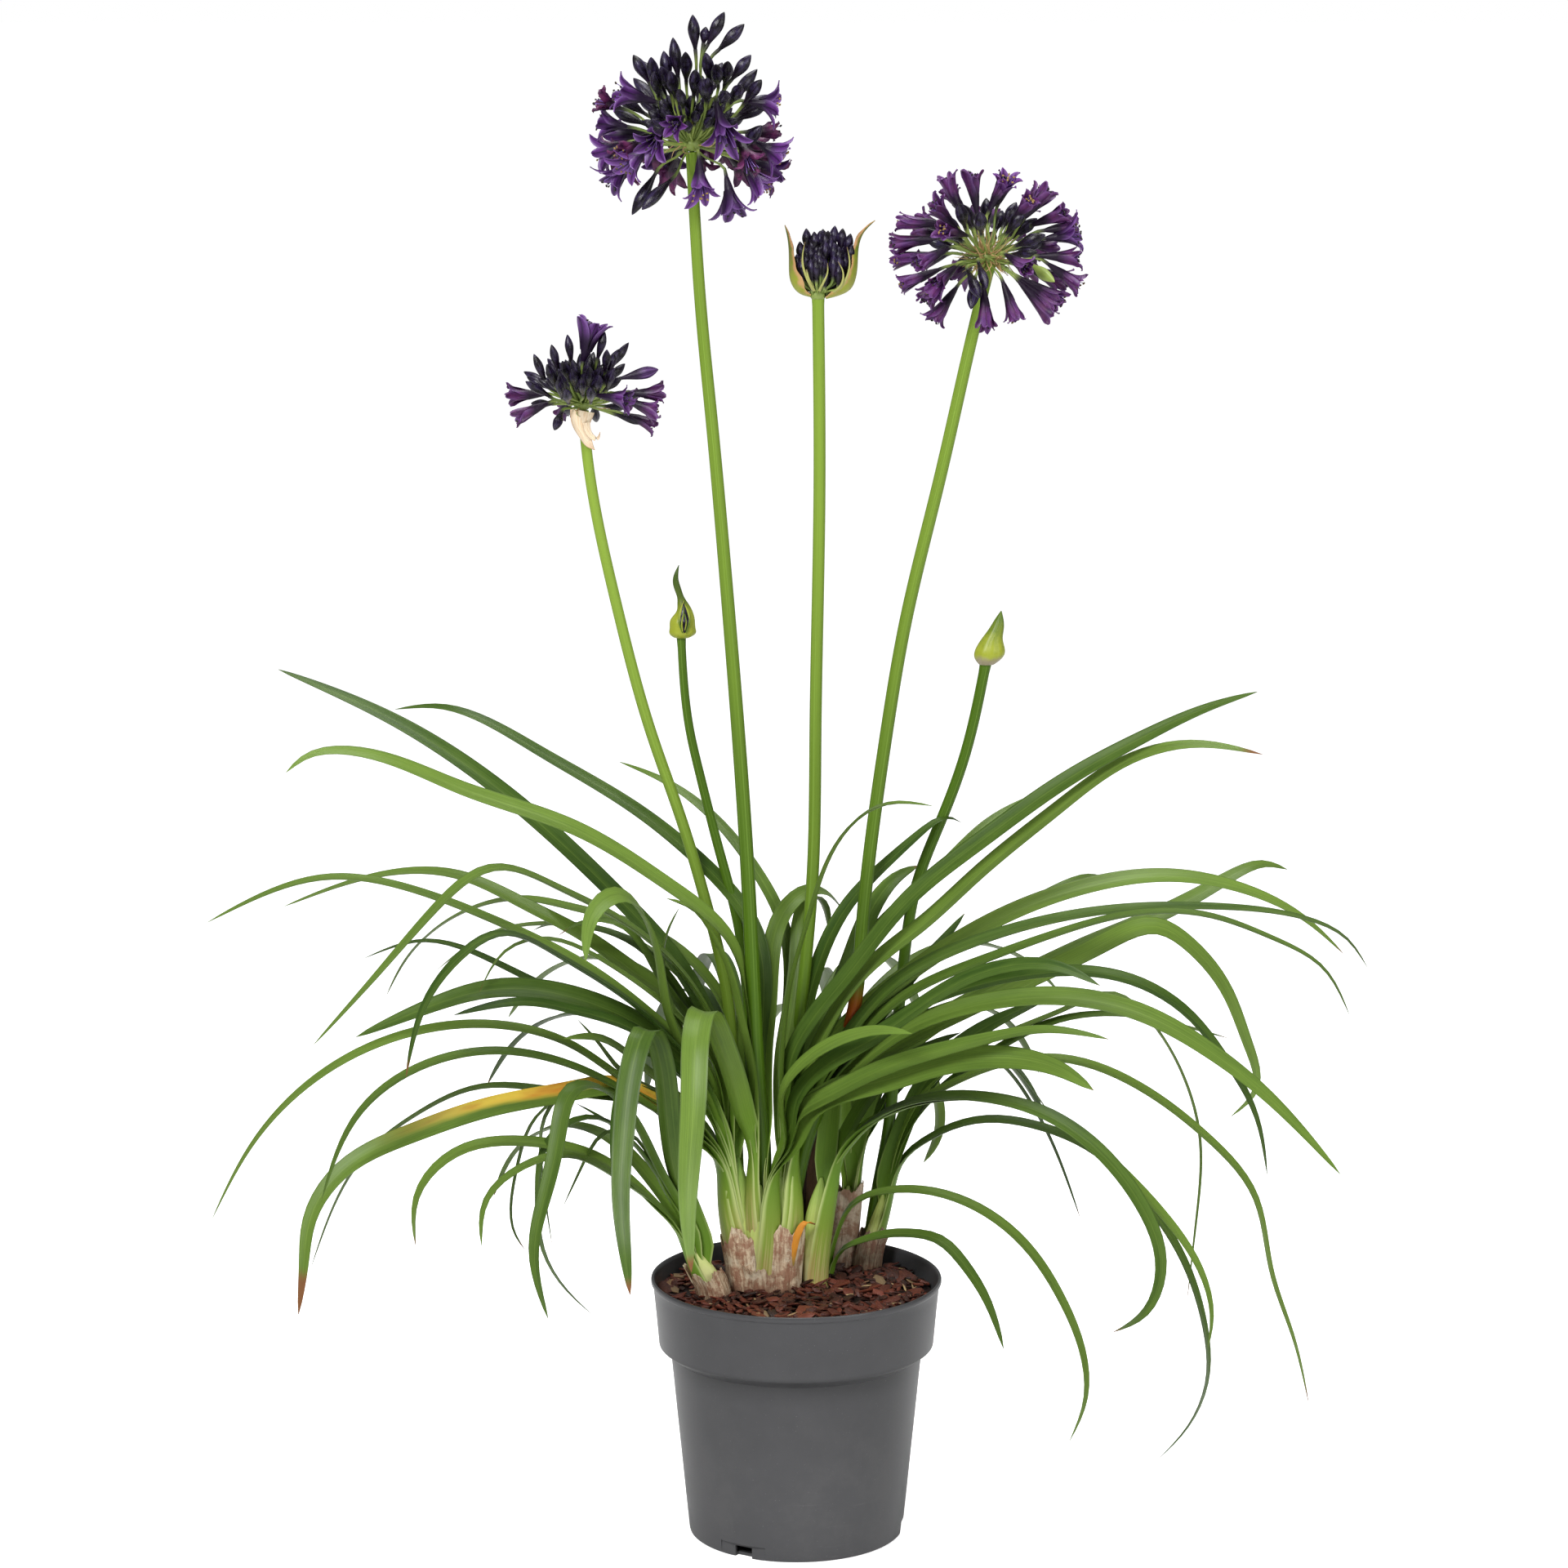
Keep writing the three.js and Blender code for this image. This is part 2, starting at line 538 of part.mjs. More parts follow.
const RIGHT_SHOOT_LEAVES = [
  [-64, 11, [10, 10], [
    [69, 254], [82, 282], [108, 305], [146, 320], [191, 317], [237, 298], [277, 260], [307, 215],
    [325, 163], [328, 117], [313, 80], [288, 54]
  ]],
  [38, 7, [0, 0], [
    [75, 268], [101, 337], [166, 386], [219, 408], [255, 418], [282, 398], [312, 348], [326, 297],
    [325, 228], [319, 156]
  ]],
  [9, 10, [10, 10], [
    [75, 268], [95, 318], [127, 351], [166, 378], [212, 399], [257, 403], [303, 395], [346, 383]
  ]],
  [20, 15, [20, 20], [[72, 262], [85, 306], [101, 342], [126, 372], [160, 395], [200, 412]]],
  [190, 14, [0, 0], [[74, 266], [95, 320], [125, 350], [155, 350], [185, 320], [210, 270]]],
];

const SEEDLING_LEAVES = [
  [-118, 10, [10, 10], [
    [25, 218], [42, 256], [74, 271], [113, 272], [151, 259], [183, 234], [208, 198], [224, 160],
    [226, 127], [213, 97]
  ]],
  [-98, 11, [10, 20], [
    [26, 205], [39, 220], [62, 234], [90, 240], [113, 239], [131, 225], [148, 202], [162, 166]
  ]],
];

// ---- Shoots: fans of leaves on the pale column that their overlapping bases make -------------------
// Columns: rows of [x, y, z, half width, half depth], from below the soil to the first leaves.
const LEFT_FAN = [
  [-37, 10, 165, 15, 13],
  [-37, 10, 205, 15, 13],
  [-41, 10, 240, 16, 12],
  [-45, 10, 272, 15, 10],
  [-46, 12, 300, 14, 13],
  [-46, 14, 330, 15, 15],
  [-46, 14, 352, 11, 11],
  [-46, 14, 366, 4, 4],
];
const RIGHT_FAN = [
  [-14, 10, 165, 15, 14],
  [-14, 10, 205, 15, 14],
  [-13, 10, 240, 16, 13],
  [-13, 11, 275, 16, 11],
  [-9, 13, 305, 14, 13],
  [-4, 14, 333, 15, 15],
  [0, 14, 356, 11, 11],
  [2, 14, 370, 4, 4],
];
const LEFT_SHOOT = [
  [-66, -15, 165, 10, 9],
  [-66, -15, 203, 10, 9],
  [-74, -16, 222, 10, 8],
  [-84, -15, 243, 8, 7],
  [-93, -15, 262, 5, 4],
];
const MIDDLE_SHOOT = [
  [14, 16, 165, 8, 8],
  [14, 16, 205, 8, 8],
  [19, 15, 255, 8, 7],
  [24, 14, 290, 7, 6],
  [27, 14, 312, 4, 4],
];
const BACK_SHOOT = [
  [37, 75, 165, 9, 9],
  [38, 75, 205, 9, 9],
  [43, 76, 270, 8, 8],
  [46, 77, 300, 6, 5],
];
const RIGHT_SHOOT = [
  [58, 66, 165, 8, 8],
  [58, 66, 203, 8, 8],
  [68, 68, 245, 7, 7],
  [74, 70, 272, 7, 6],
  [80, 71, 298, 5, 4],
];
const SEEDLING = [
  [24, 41, 170, 4, 4],
  [24, 41, 203, 4, 4],
  [26, 40, 222, 3, 3],
];

// ---- Flower stalks: [path of [x, y, z], radius at the root, radius at the top] ----------------------
const STALKS = {
  tall: [[
    [-26, -4, 268], [-29, -6, 350], [-33, -6, 422], [-37, -5, 515], [-45, -3, 643], [-55, -1, 771],
    [-66, 0, 897], [-72, 0, 960], [-80, 0, 1092]
  ], 6.4, 4.5],
  middle: [[
    [-6, 22, 275], [2, 26, 400], [12.8, 28, 528], [14.8, 29, 638], [17.7, 30, 831], [16.4, 30, 982]
  ], 5, 4.6],
  right: [[
    [22, 16, 272], [44, 23, 412], [51, 26, 475], [61, 28, 573], [70, 28, 638], [85, 28, 729],
    [110, 27, 837], [134, 26, 946], [148, 25, 1006]
  ], 5.6, 4.6],
  left: [[
    [-46, 16, 275], [-50, 24, 380], [-57, 28, 445], [-69, 30, 496], [-91, 30, 573], [-113, 30, 638],
    [-140, 30, 741], [-161, 30, 850], [-165, 30, 892]
  ], 4.8, 4.1],
  left_bud: [[
    [-32, 24, 275], [-36, 34, 380], [-46, 38, 485], [-61, 40, 545], [-77, 40, 610], [-83, 40, 637],
    [-90, 40, 712]
  ], 4.8, 3.2],
  right_bud: [[
    [66, 69, 250], [74, 71, 300], [80, 70, 380], [86, 69, 450], [97, 67, 516], [113, 66, 559],
    [132, 65, 612], [149, 64, 690]
  ], 4.8, 4.2],
};
function stalk(name, allowance = 0) {
  const [path, rootRadius, tipRadius] = STALKS[name];
  return stem(path, rootRadius, tipRadius, STALK_SIDES, STALK_STATIONS, allowance);
}

// A shoot is its columns and leaves as one body, with a socket for each flower stalk that rises in it.
function shoot(columns, leaves) {
  const whole = mainBody(join([...columns.map((rows) => column(rows)), ...leaves]));
  const sockets = Object.keys(STALKS).map((name) => stalk(name, CLEARANCE));
  return mainBody(cutBy(whole, sockets));
}

// ---- Papery sheaths: dry tubes with torn tops round the feet of the columns --------------------------
// The rows of a column between two heights.
function stretch(rows, low, high) {
  const at = (z) => {
    const i = rows.findIndex((row) => row[2] >= z);
    const share = (z - rows[i - 1][2]) / (rows[i][2] - rows[i - 1][2]);
    return rows[i].map((value, k) => mix(rows[i - 1][k], value, share));
  };
  return [at(low), ...rows.filter(([, , z]) => z > low && z < high), at(high)];
}

function sheath({ columns, low, high, seed }) {
  const random = seeded(seed);
  const skins = columns.map((rows) => {
    const rings = columnRings(stretch(rows, low, high), CLEARANCE + SHEATH_THICKNESS, COLUMN_SIDES);
    for (const corner of rings.at(-1)) corner.z += (random() - 0.5) * SHEATH_TEAR;
    return loft(rings);
  });
  const inside = columns.map((rows) => column(rows, CLEARANCE));
  return mainBody(cutBy(join(skins), inside));
}

const SHEATHS = {
  sheath_centre: { columns: [LEFT_FAN, RIGHT_FAN], low: 190, high: 236, seed: 5 },
  sheath_left: { columns: [LEFT_SHOOT], low: 190, high: 217, seed: 6 },
  sheath_back: { columns: [BACK_SHOOT], low: 190, high: 262, seed: 7 },
  sheath_right: { columns: [RIGHT_SHOOT], low: 190, high: 230, seed: 8 },
};

// ---- Bracts: thin cupped blades --------------------------------------------------------------------
// Rows: [x, y, z, half width, cup]. The edges lie along one direction and the cup opens along another.
function bract({ rows, edge, open }, allowance = 0) {
  const centres = rows.map(([x, y, z]) => point(x, y, z));
  const rings = rows.map(([, , , half, cup], i) => {
    if (half === 0) return [centres[i]];
    const before = centres[Math.max(i - 1, 0)];
    const after = centres[Math.min(i + 1, rows.length - 1)];
    const along = after.clone().sub(before).normalize();
    const side = edge.clone().addScaledVector(along, -along.dot(edge)).normalize();
    const face = side.clone().cross(along);
    if (face.dot(open) < 0) face.negate();
    const shift = BRACT_THICKNESS / 2 + allowance;
    return [
      centres[i].clone().addScaledVector(side, half + allowance).addScaledVector(face, cup),
      centres[i].clone().addScaledVector(face, shift),
      centres[i].clone().addScaledVector(side, -half - allowance).addScaledVector(face, cup),
      centres[i].clone().addScaledVector(face, -shift),
    ];
  });
  return loft(rings);
}

const BRACTS = {
  spathe_left: {
    rows: [
      [-165, 21.5, 893, 9.5, 3],
      [-166, 22, 881.5, 7, 3],
      [-163.5, 23, 874, 4.6, 2],
      [-160, 22, 867.5, 3, 1],
      [-155.5, 20, 863, 0, 0],
    ],
    edge: EAST,
    open: NORTH,
  },
  valve_left: {
    rows: [
      [10.5, 30, 981, 5, 1],
      [2, 30, 984.5, 9, 5],
      [-3.8, 30, 991.4, 11, 7],
      [-5, 30, 1003, 10, 6],
      [-5.6, 29, 1019, 5, 2],
      [-7, 28, 1026.5, 3, 1],
      [-9, 27, 1033, 0, 0],
    ],
    edge: NORTH,
    open: EAST,
  },
  valve_right: {
    rows: [
      [22.5, 30, 978.5, 5, 1],
      [33, 30, 981.4, 9, 4],
      [41, 30, 986.4, 11, 6],
      [44.5, 30, 994, 10, 6],
      [46.4, 30, 1006.4, 8, 4],
      [47.1, 30, 1017.7, 5, 2],
      [50.5, 29, 1028, 3, 1],
      [60, 28, 1038.5, 0, 0],
    ],
    edge: NORTH,
    open: EAST.clone().negate(),
  },
};

// ---- Flower heads: florets on thin pedicels that spread from a core on the end of the stalk ------------
const ROOT_SHARE = 0.15; // pedicels start this far out from the centre, inside the core
// Radius of a bud where it is widest, and where along its length that is.
const BUD = { swell: 4.8, swellAt: 0.64 };
const SMALL_BUD = { swell: 3.9, swellAt: 0.6 };
// Radii of the tube, the petal tips and the notches between them, and where along its length each lies.
const OPEN = {
  throat: 3.4,
  throatAt: 0.4,
  petal: 19,
  petalAt: 0.9,
  notch: 7,
  notchAt: 0.78,
  heartAt: 0.5,
};
const TRUMPET = {
  throat: 3.6,
  throatAt: 0.4,
  petal: 12,
  petalAt: 1,
  notch: 6,
  notchAt: 0.76,
  heartAt: 0.55,
};

// One floret on its pedicel: a pointed bud, or a six-petalled star on a narrow tube.
function floret(centre, kind, foot, tip) {
  const axis = tip.clone().sub(foot);
  const length = axis.length();
  axis.normalize();
  const out = foot.clone().sub(centre).normalize();
  const lean = (v) => Math.max(Math.abs(v.dot(axis)), Math.abs(v.dot(out)));
  const level = [UP, EAST, NORTH].sort((a, b) => lean(a) - lean(b))[0];
  const ring = (middle, along, radii) => {
    const u = level.clone().cross(along).normalize();
    const v = along.clone().cross(u);
    return radii.map((radius, i) => {
      const angle = (2 * Math.PI * i) / radii.length;
      return middle
        .clone()
        .addScaledVector(u, radius * Math.cos(angle))
        .addScaledVector(v, radius * Math.sin(angle));
    });
  };
  const at = (share) => foot.clone().addScaledVector(axis, length * share);
  const even = (radius, sides) => Array(sides).fill(radius);
  const bend = out.clone().add(axis).normalize();
  const root = centre.clone().lerp(foot, ROOT_SHARE);
  if (kind.swell) {
    return loft([
      ring(root, out, even(PEDICEL_RADIUS, 3)),
      ring(foot, bend, even(PEDICEL_RADIUS * PEDICEL_FLARE, 3)),
      ring(at(kind.swellAt), axis, even(kind.swell, 6)),
      [tip],
    ]);
  }
  const star = ring(at(0), axis, [...Array(12).keys()].map((i) => (i % 2 ? kind.notch : kind.petal)));
  star.forEach((p, i) => p.addScaledVector(axis, length * (i % 2 ? kind.notchAt : kind.petalAt)));
  return loft([
    ring(root, out, even(PEDICEL_RADIUS, 3)),
    ring(foot, bend, even(PEDICEL_RADIUS * PEDICEL_FLARE, 3)),
    ring(at(kind.throatAt), axis, even(kind.throat, 6)),
    star,
    [at(kind.heartAt)],
  ]);
}

// A point of a head: [x, z] from its centre, as far to the front (-1) or back (1) as its reach allows.
function onDome(centre, [x, z], reach, facing) {
  const depth = Math.sqrt(Math.max(0, reach ** 2 - x ** 2 - z ** 2));
  return point(centre.x + x, centre.y + depth * facing, centre.z + z);
}

// Florets on the far side, spread by the golden angle: the first kind above, the second below.
const BEHIND = { lowest: -0.35, highest: 0.85, upperFrom: 0.2, from: 15, to: 165 };
function behind(centre, count, [upper, lower], reach, seed) {
  const random = seeded(seed);
  return Array.from({ length: count }, (_, i) => {
    const rise = mix(BEHIND.lowest, BEHIND.highest, (i + 0.5) / count);
    const turn = THREE.MathUtils.degToRad(mix(BEHIND.from, BEHIND.to, (i * GOLDEN_SHARE) % 1));
    const flat = Math.sqrt(1 - rise ** 2);
    const way = point(flat * Math.cos(turn), flat * Math.sin(turn), rise);
    const foot = centre.clone().addScaledVector(way, reach[0] * mix(0.92, 1.08, random()));
    const tip = centre.clone().addScaledVector(way, reach[1] * mix(0.95, 1.03, random()));
    return floret(centre, rise > BEHIND.upperFrom ? upper : lower, foot, tip);
  });
}

function ball(centre, radius) {
  return solidOf(new THREE.IcosahedronGeometry(radius).translate(centre.x, centre.y, centre.z));
}

// Rows: [kind, foot [x, z], tip [x, z], facing]
const TALL_FLORETS = [
  [BUD, [3, 70], [1, 97], 0],
  [BUD, [12, 74], [25, 99], 0],
  [BUD, [20, 70], [40, 90], 0],
  [BUD, [-32, 46], [-44, 67], 0],
  [BUD, [-17, 45], [-21, 70], 0],
  [BUD, [-10, 49], [-14, 80], 0],
  [BUD, [-4, 47], [-4, 70], -0.6],
  [BUD, [14, 47], [11, 69], -0.3],
  [BUD, [25, 45], [28, 63], -0.6],
  [BUD, [30, 48], [45, 67], 0],
  [BUD, [40, 31], [53, 49], -0.4],
  [BUD, [-25, 37], [-27, 56], -0.9],
  [BUD, [-12, 37], [-15, 57], -1],
  [BUD, [11, 35], [9, 51], -1],
  [BUD, [23, 33], [27, 41], -1],
  [BUD, [40, -2], [53, 15], -0.3],
  [BUD, [-27, -21], [-45, -52], -0.5],
  [BUD, [-15, -25], [-37, -47], -0.7],
  [OPEN, [-26, 32], [-59, 43], -0.4],
  [OPEN, [-48, 13], [-72, 17], 0],
  [OPEN, [-20, 13], [-31, 20], -1],
  [OPEN, [-51, 0], [-73, -6], 0.3],
  [OPEN, [-30, 2], [-56, -14], -0.8],
  [OPEN, [-45, -12], [-68, -31], -0.3],
  [OPEN, [19, 33], [30, 13], -0.9],
  [OPEN, [42, 32], [68, 29], 0],
  [OPEN, [48, 2], [72, -11], 0],
  [OPEN, [35, -8], [59, -36], -0.4],
  [OPEN, [26, -22], [34, -55], -0.6],
  [OPEN, [6, -8], [9, -36], -0.9],
];
const RIGHT_FLORETS = [
  [TRUMPET, [-31, 25], [-71, 27], 0],
  [TRUMPET, [-36, 13], [-75, 13], -0.3],
  [TRUMPET, [-35, 2], [-73, -3], 0.2],
  [TRUMPET, [-36, -9], [-69, -21], -0.3],
  [TRUMPET, [-30, -10], [-53, -32], -0.6],
  [TRUMPET, [-23, -22], [-44, -49], -0.3],
  [TRUMPET, [-10, -15], [-18, -38], -0.9],
  [TRUMPET, [-4, -19], [-1, -51], -0.8],
  [TRUMPET, [11, -17], [24, -47], -0.5],
  [TRUMPET, [24, -16], [55, -39], -0.4],
  [TRUMPET, [46, -5], [73, -24], 0],
  [TRUMPET, [39, 1], [75, 0], -0.2],
  [TRUMPET, [43, 20], [69, 24], 0],
  [TRUMPET, [34, 24], [58, 40], -0.4],
  [TRUMPET, [28, 29], [48, 53], 0],
  [TRUMPET, [1, 35], [13, 62], -0.2],
  [TRUMPET, [-8, 32], [-13, 66], 0],
  [TRUMPET, [-19, 32], [-33, 62], -0.2],
  [TRUMPET, [-23, 21], [-41, 46], -0.6],
  [TRUMPET, [-21, -7], [-38, -13], -1],
  [TRUMPET, [-14, 18], [-24, 37], -1],
  [SMALL_BUD, [-8, -2], [-3, -19], -0.9],
];
const LEFT_FLORETS = [
  [TRUMPET, [-28, 8], [-59, 7], 0],
  [TRUMPET, [-25, 3], [-53, -6], -0.6],
  [BUD, [-24, 8], [-42, 21], -0.7],
  [BUD, [-28, 17], [-37, 39], 0],
  [BUD, [-18, 26], [-23, 47], -0.2],
  [BUD, [-8, 32], [-11, 54], 0],
  [OPEN, [0, 36], [4, 64], 0],
  [BUD, [12, 35], [18, 56], 0],
  [BUD, [18, 26], [20, 44], -0.4],
  [BUD, [21, 25], [25, 39], 0],
  [BUD, [19, 18], [26, 30], -0.6],
  [BUD, [29, 20], [59, 27], 0],
  [TRUMPET, [37, 9], [64, 8], 0],
  [TRUMPET, [35, 3], [60, -4], -0.3],
  [OPEN, [16, 11], [27, 13], -1],
  [SMALL_BUD, [-15, -4], [-20, -16], -0.6],
  [SMALL_BUD, [8, -4], [9, -19], 0.8],
  [BUD, [-20, 17], [-25, 35], -0.8],
  [BUD, [-9, 21], [-13, 38], -0.9],
  [BUD, [6, 17], [8, 34], -0.9],
  [BUD, [-14, 9], [-16, 25], -1],
];
const MIDDLE_FLORETS = [
  [SMALL_BUD, [-8, 33], [-9, 51], -0.1],
  [SMALL_BUD, [-3, 31], [-3, 49], -0.35],
  [SMALL_BUD, [6, 30], [7, 46], -0.3],
  [SMALL_BUD, [11, 34], [13, 52], 0],
  [SMALL_BUD, [18, 33], [20, 50], -0.35],
  [SMALL_BUD, [21, 29], [25, 46], 0],
  [SMALL_BUD, [-13, 19], [-16, 36], 0],
  [SMALL_BUD, [1, 13], [1, 30], -0.6],
  [SMALL_BUD, [12, 12], [12, 29], -0.55],
  [SMALL_BUD, [-6, 9], [-7, 24], -0.5],
  [SMALL_BUD, [21, 17], [24, 34], -0.25],
];

const HEADS = {
  tall: {
    centre: point(-79.6, 0, 1098),
    core: (centre) => ball(centre, 14),
    florets: TALL_FLORETS,
    back: [8, [BUD, OPEN], [PEDICEL_REACH, 78], 21],
    reach: [PEDICEL_REACH, FLORET_REACH],
  },
  right: {
    centre: point(146, 25, 1011),
    core: (centre) => ball(centre, 13),
    florets: RIGHT_FLORETS,
    back: [6, [TRUMPET, TRUMPET], [40, 72], 22],
    reach: [40, 76],
  },
  left: {
    centre: point(-165.4, 30, 897),
    core: (centre) => ball(centre, 12),
    florets: LEFT_FLORETS,
    back: [6, [BUD, TRUMPET], [36, 62], 23],
    reach: [36, 64],
  },
  middle: {
    centre: point(16.4, 30, 981.4),
    core: () =>
      column([
        [16.4, 30, 980, 5.5, 5.5],
        [19, 30, 987, 13, 12],
        [21, 30, 998, 17, 15],
        [21, 30, 1011, 15, 14],
        [21, 30, 1020, 0, 0],
      ], 0, 8),
    florets: MIDDLE_FLORETS,
    back: [0, [SMALL_BUD, SMALL_BUD], [32, 48], 24],
    reach: [34, 52],
  },
};

// A head is its core, pedicels and florets as one body, cut clear of the stalk and of its bracts.
function head(name) {
  const { centre, core, florets, back, reach } = HEADS[name];
  const front = florets.map(([kind, foot, tip, facing]) =>
    floret(centre, kind, onDome(centre, foot, reach[0], facing), onDome(centre, tip, reach[1], facing)),
  );
  const whole = join([core(centre), ...front, ...behind(centre, ...back)]);
  const bracts = Object.values(BRACTS).map((sizes) => bract(sizes, CLEARANCE));
  return mainBody(cutBy(whole, [stalk(name, CLEARANCE), ...bracts]));
}

// ---- Closed buds: each a whole head still wrapped in its spathe -----------------------------------------
const CLOSED_BUDS = {
  left_bud: [
    [-90, 40, 711, 5, 5],
    [-89.3, 40, 714.5, 8.2, 8],
    [-89, 40, 721.4, 10.5, 10],
    [-89, 40, 729, 9, 8.6],
    [-88.4, 40, 738, 4.9, 4.8],
    [-90.6, 40, 747, 3, 3],
    [-94.3, 40, 756, 2.2, 2.2],
    [-91.3, 40, 770, 0, 0],
  ],
  right_bud: [
    [149.6, 64, 688.5, 6, 6],
    [150.6, 64, 692.5, 10, 9.6],
    [152, 64, 699, 11.5, 11],
    [153.6, 64, 708, 8.7, 8.4],
    [157.2, 64, 717, 6.1, 5.8],
    [159.4, 64, 725, 3.2, 3.2],
    [160.8, 64, 731, 0, 0],
  ],
};

function closedBud(name) {
  return mainBody(column(CLOSED_BUDS[name], 0, 8).subtract(stalk(name, CLEARANCE)));
}

// ---- A withered strip of leaf, bent over between two columns --------------------------------------------
const WITHERED = {
  rows: [
    [-4, -3.5, 217, 2.2, 0.4],
    [-2, -4.5, 232, 3, 0.6],
    [2, -5, 246, 2.8, 0.6],
    [7, -4, 253, 2, 0.4],
    [15, -1, 251, 0, 0],
  ],
  edge: EAST,
  open: NORTH,
};

function witheredLeaf() {
  const sheathed = column(RIGHT_FAN, SHEATH_THICKNESS + 2 * CLEARANCE);
  return mainBody(cutBy(bract(WITHERED), [sheathed, column(MIDDLE_SHOOT, CLEARANCE)]));
}

// ---- The assembly ------------------------------------------------------------------------------------
const agapanthus = new THREE.Group();

function place(name, solid, material) {
  const mesh = solid.getMesh();
  const geometry = new THREE.BufferGeometry();
  const positions = new Float32Array(mesh.numVert * 3);
  for (let i = 0; i < mesh.numVert; i++) {
    positions.set(mesh.vertProperties.subarray(i * mesh.numProp, i * mesh.numProp + 3), i * 3);
  }
  geometry.setAttribute("position", new THREE.BufferAttribute(positions, 3));
  geometry.setIndex(new THREE.BufferAttribute(mesh.triVerts, 1));
  geometry.computeVertexNormals();
  const piece = new THREE.Mesh(geometry, material);
  piece.name = name;
  agapanthus.add(piece);
}

const finish = (color, roughness, metalness = 0) =>
  new THREE.MeshStandardMaterial({ color, roughness, metalness });
const PLASTIC = finish(0x58585a, 0.55);
const BARK = finish(0x6b3526, 0.95);
const FOLIAGE = finish(0x557f33, 0.5);
const STALK_GREEN = finish(0x6f9a3c, 0.45);
const VIOLET = finish(0x3c2346, 0.5);
const PAPER = finish(0x9c8061, 0.85);
const BRACT_GREEN = finish(0xaab052, 0.5);
const ORANGE = finish(0xcf8a20, 0.6);

const FANS = { middleY: 14, rootSpread: 11 };
const centreLeaves = [...LEFT_FAN_LEAVES, YELLOW_LEAF, ...RIGHT_FAN_LEAVES];
const SHOOTS = {
  shoot_centre: [FANS, [LEFT_FAN, RIGHT_FAN], centreLeaves],
  shoot_left: [{ middleY: -15, rootSpread: 6 }, [LEFT_SHOOT], LEFT_SHOOT_LEAVES],
  shoot_middle: [{ middleY: 14, rootSpread: 6 }, [MIDDLE_SHOOT], MIDDLE_SHOOT_LEAVES],
  shoot_back: [{ middleY: 77, rootSpread: 6 }, [BACK_SHOOT], BACK_SHOOT_LEAVES],
  shoot_right: [{ middleY: 70, rootSpread: 6 }, [RIGHT_SHOOT], RIGHT_SHOOT_LEAVES],
  seedling: [{ middleY: 40, rootSpread: 3 }, [SEEDLING], SEEDLING_LEAVES],
};

place("pot", makePot(), PLASTIC);
const sheathed = Object.values(SHEATHS).flatMap(({ columns }) => columns);
const everyColumn = Object.values(SHOOTS).flatMap(([, columns]) => columns);
const holes = everyColumn.map((rows) => {
  const sheathRoom = sheathed.includes(rows) ? SHEATH_THICKNESS + CLEARANCE : 0;
  return column(rows, CLEARANCE + sheathRoom);
});
place("soil", makeSoil(holes), BARK);
for (const [name, [root, columns, rows]] of Object.entries(SHOOTS)) {
  place(name, shoot(columns, rows.map((row) => leaf(root, row))), FOLIAGE);
}
for (const [name, sizes] of Object.entries(SHEATHS)) place(name, sheath(sizes), PAPER);
place("withered_leaf", witheredLeaf(), ORANGE);
for (const name of Object.keys(STALKS)) place("stalk_" + name, stalk(name), STALK_GREEN);
for (const name of Object.keys(HEADS)) place("head_" + name, head(name), VIOLET);
place("bud_left", closedBud("left_bud"), BRACT_GREEN);
place("bud_right", closedBud("right_bud"), BRACT_GREEN);
for (const [name, sizes] of Object.entries(BRACTS)) {
  place(name, bract(sizes), name === "spathe_left" ? PAPER : BRACT_GREEN);
}

export default agapanthus;
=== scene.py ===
import math

import bpy
import numpy as np
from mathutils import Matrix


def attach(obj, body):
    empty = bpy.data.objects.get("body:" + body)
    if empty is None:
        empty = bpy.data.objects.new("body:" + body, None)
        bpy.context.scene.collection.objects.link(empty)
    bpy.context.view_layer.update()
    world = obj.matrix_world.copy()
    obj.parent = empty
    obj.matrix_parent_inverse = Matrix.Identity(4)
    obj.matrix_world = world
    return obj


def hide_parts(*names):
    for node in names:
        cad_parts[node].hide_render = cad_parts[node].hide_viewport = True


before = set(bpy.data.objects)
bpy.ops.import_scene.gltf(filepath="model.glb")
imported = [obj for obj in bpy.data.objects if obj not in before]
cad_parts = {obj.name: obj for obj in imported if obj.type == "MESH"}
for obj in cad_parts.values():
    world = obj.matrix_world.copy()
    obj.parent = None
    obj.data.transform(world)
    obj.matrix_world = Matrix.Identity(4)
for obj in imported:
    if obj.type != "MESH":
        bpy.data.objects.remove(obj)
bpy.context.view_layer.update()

# ---- Camera, floor and light --------------------------------------------------------------------
# The plant stands on a plain pale floor in even, soft studio light. The camera stands well back
# from it, a little above its tallest flowers, and looks down a little.
CAMERA_PLACE = (-0.0097, -3.68, 1.298)
CAMERA_DOWN = 10.67  # degrees below level
CAMERA_LENS, CAMERA_SENSOR = 110.7, 36  # millimetres

camera_data = bpy.data.cameras.new("camera")
camera_data.sensor_width = CAMERA_SENSOR
camera_data.lens = CAMERA_LENS
camera = bpy.data.objects.new("camera", camera_data)
camera.location = CAMERA_PLACE
camera.rotation_euler = (math.radians(90 - CAMERA_DOWN), 0, 0)
bpy.context.scene.collection.objects.link(camera)
bpy.context.scene.camera = camera
bpy.context.scene.view_settings.view_transform = "Standard"


def paint(red, green, blue):
    """A colour given by its sRGB values, 0 to 255."""
    linear = [((c / 255 + 0.055) / 1.055) ** 2.4 if c > 10 else c / 255 / 12.92 for c in (red, green, blue)]
    return (*linear, 1)


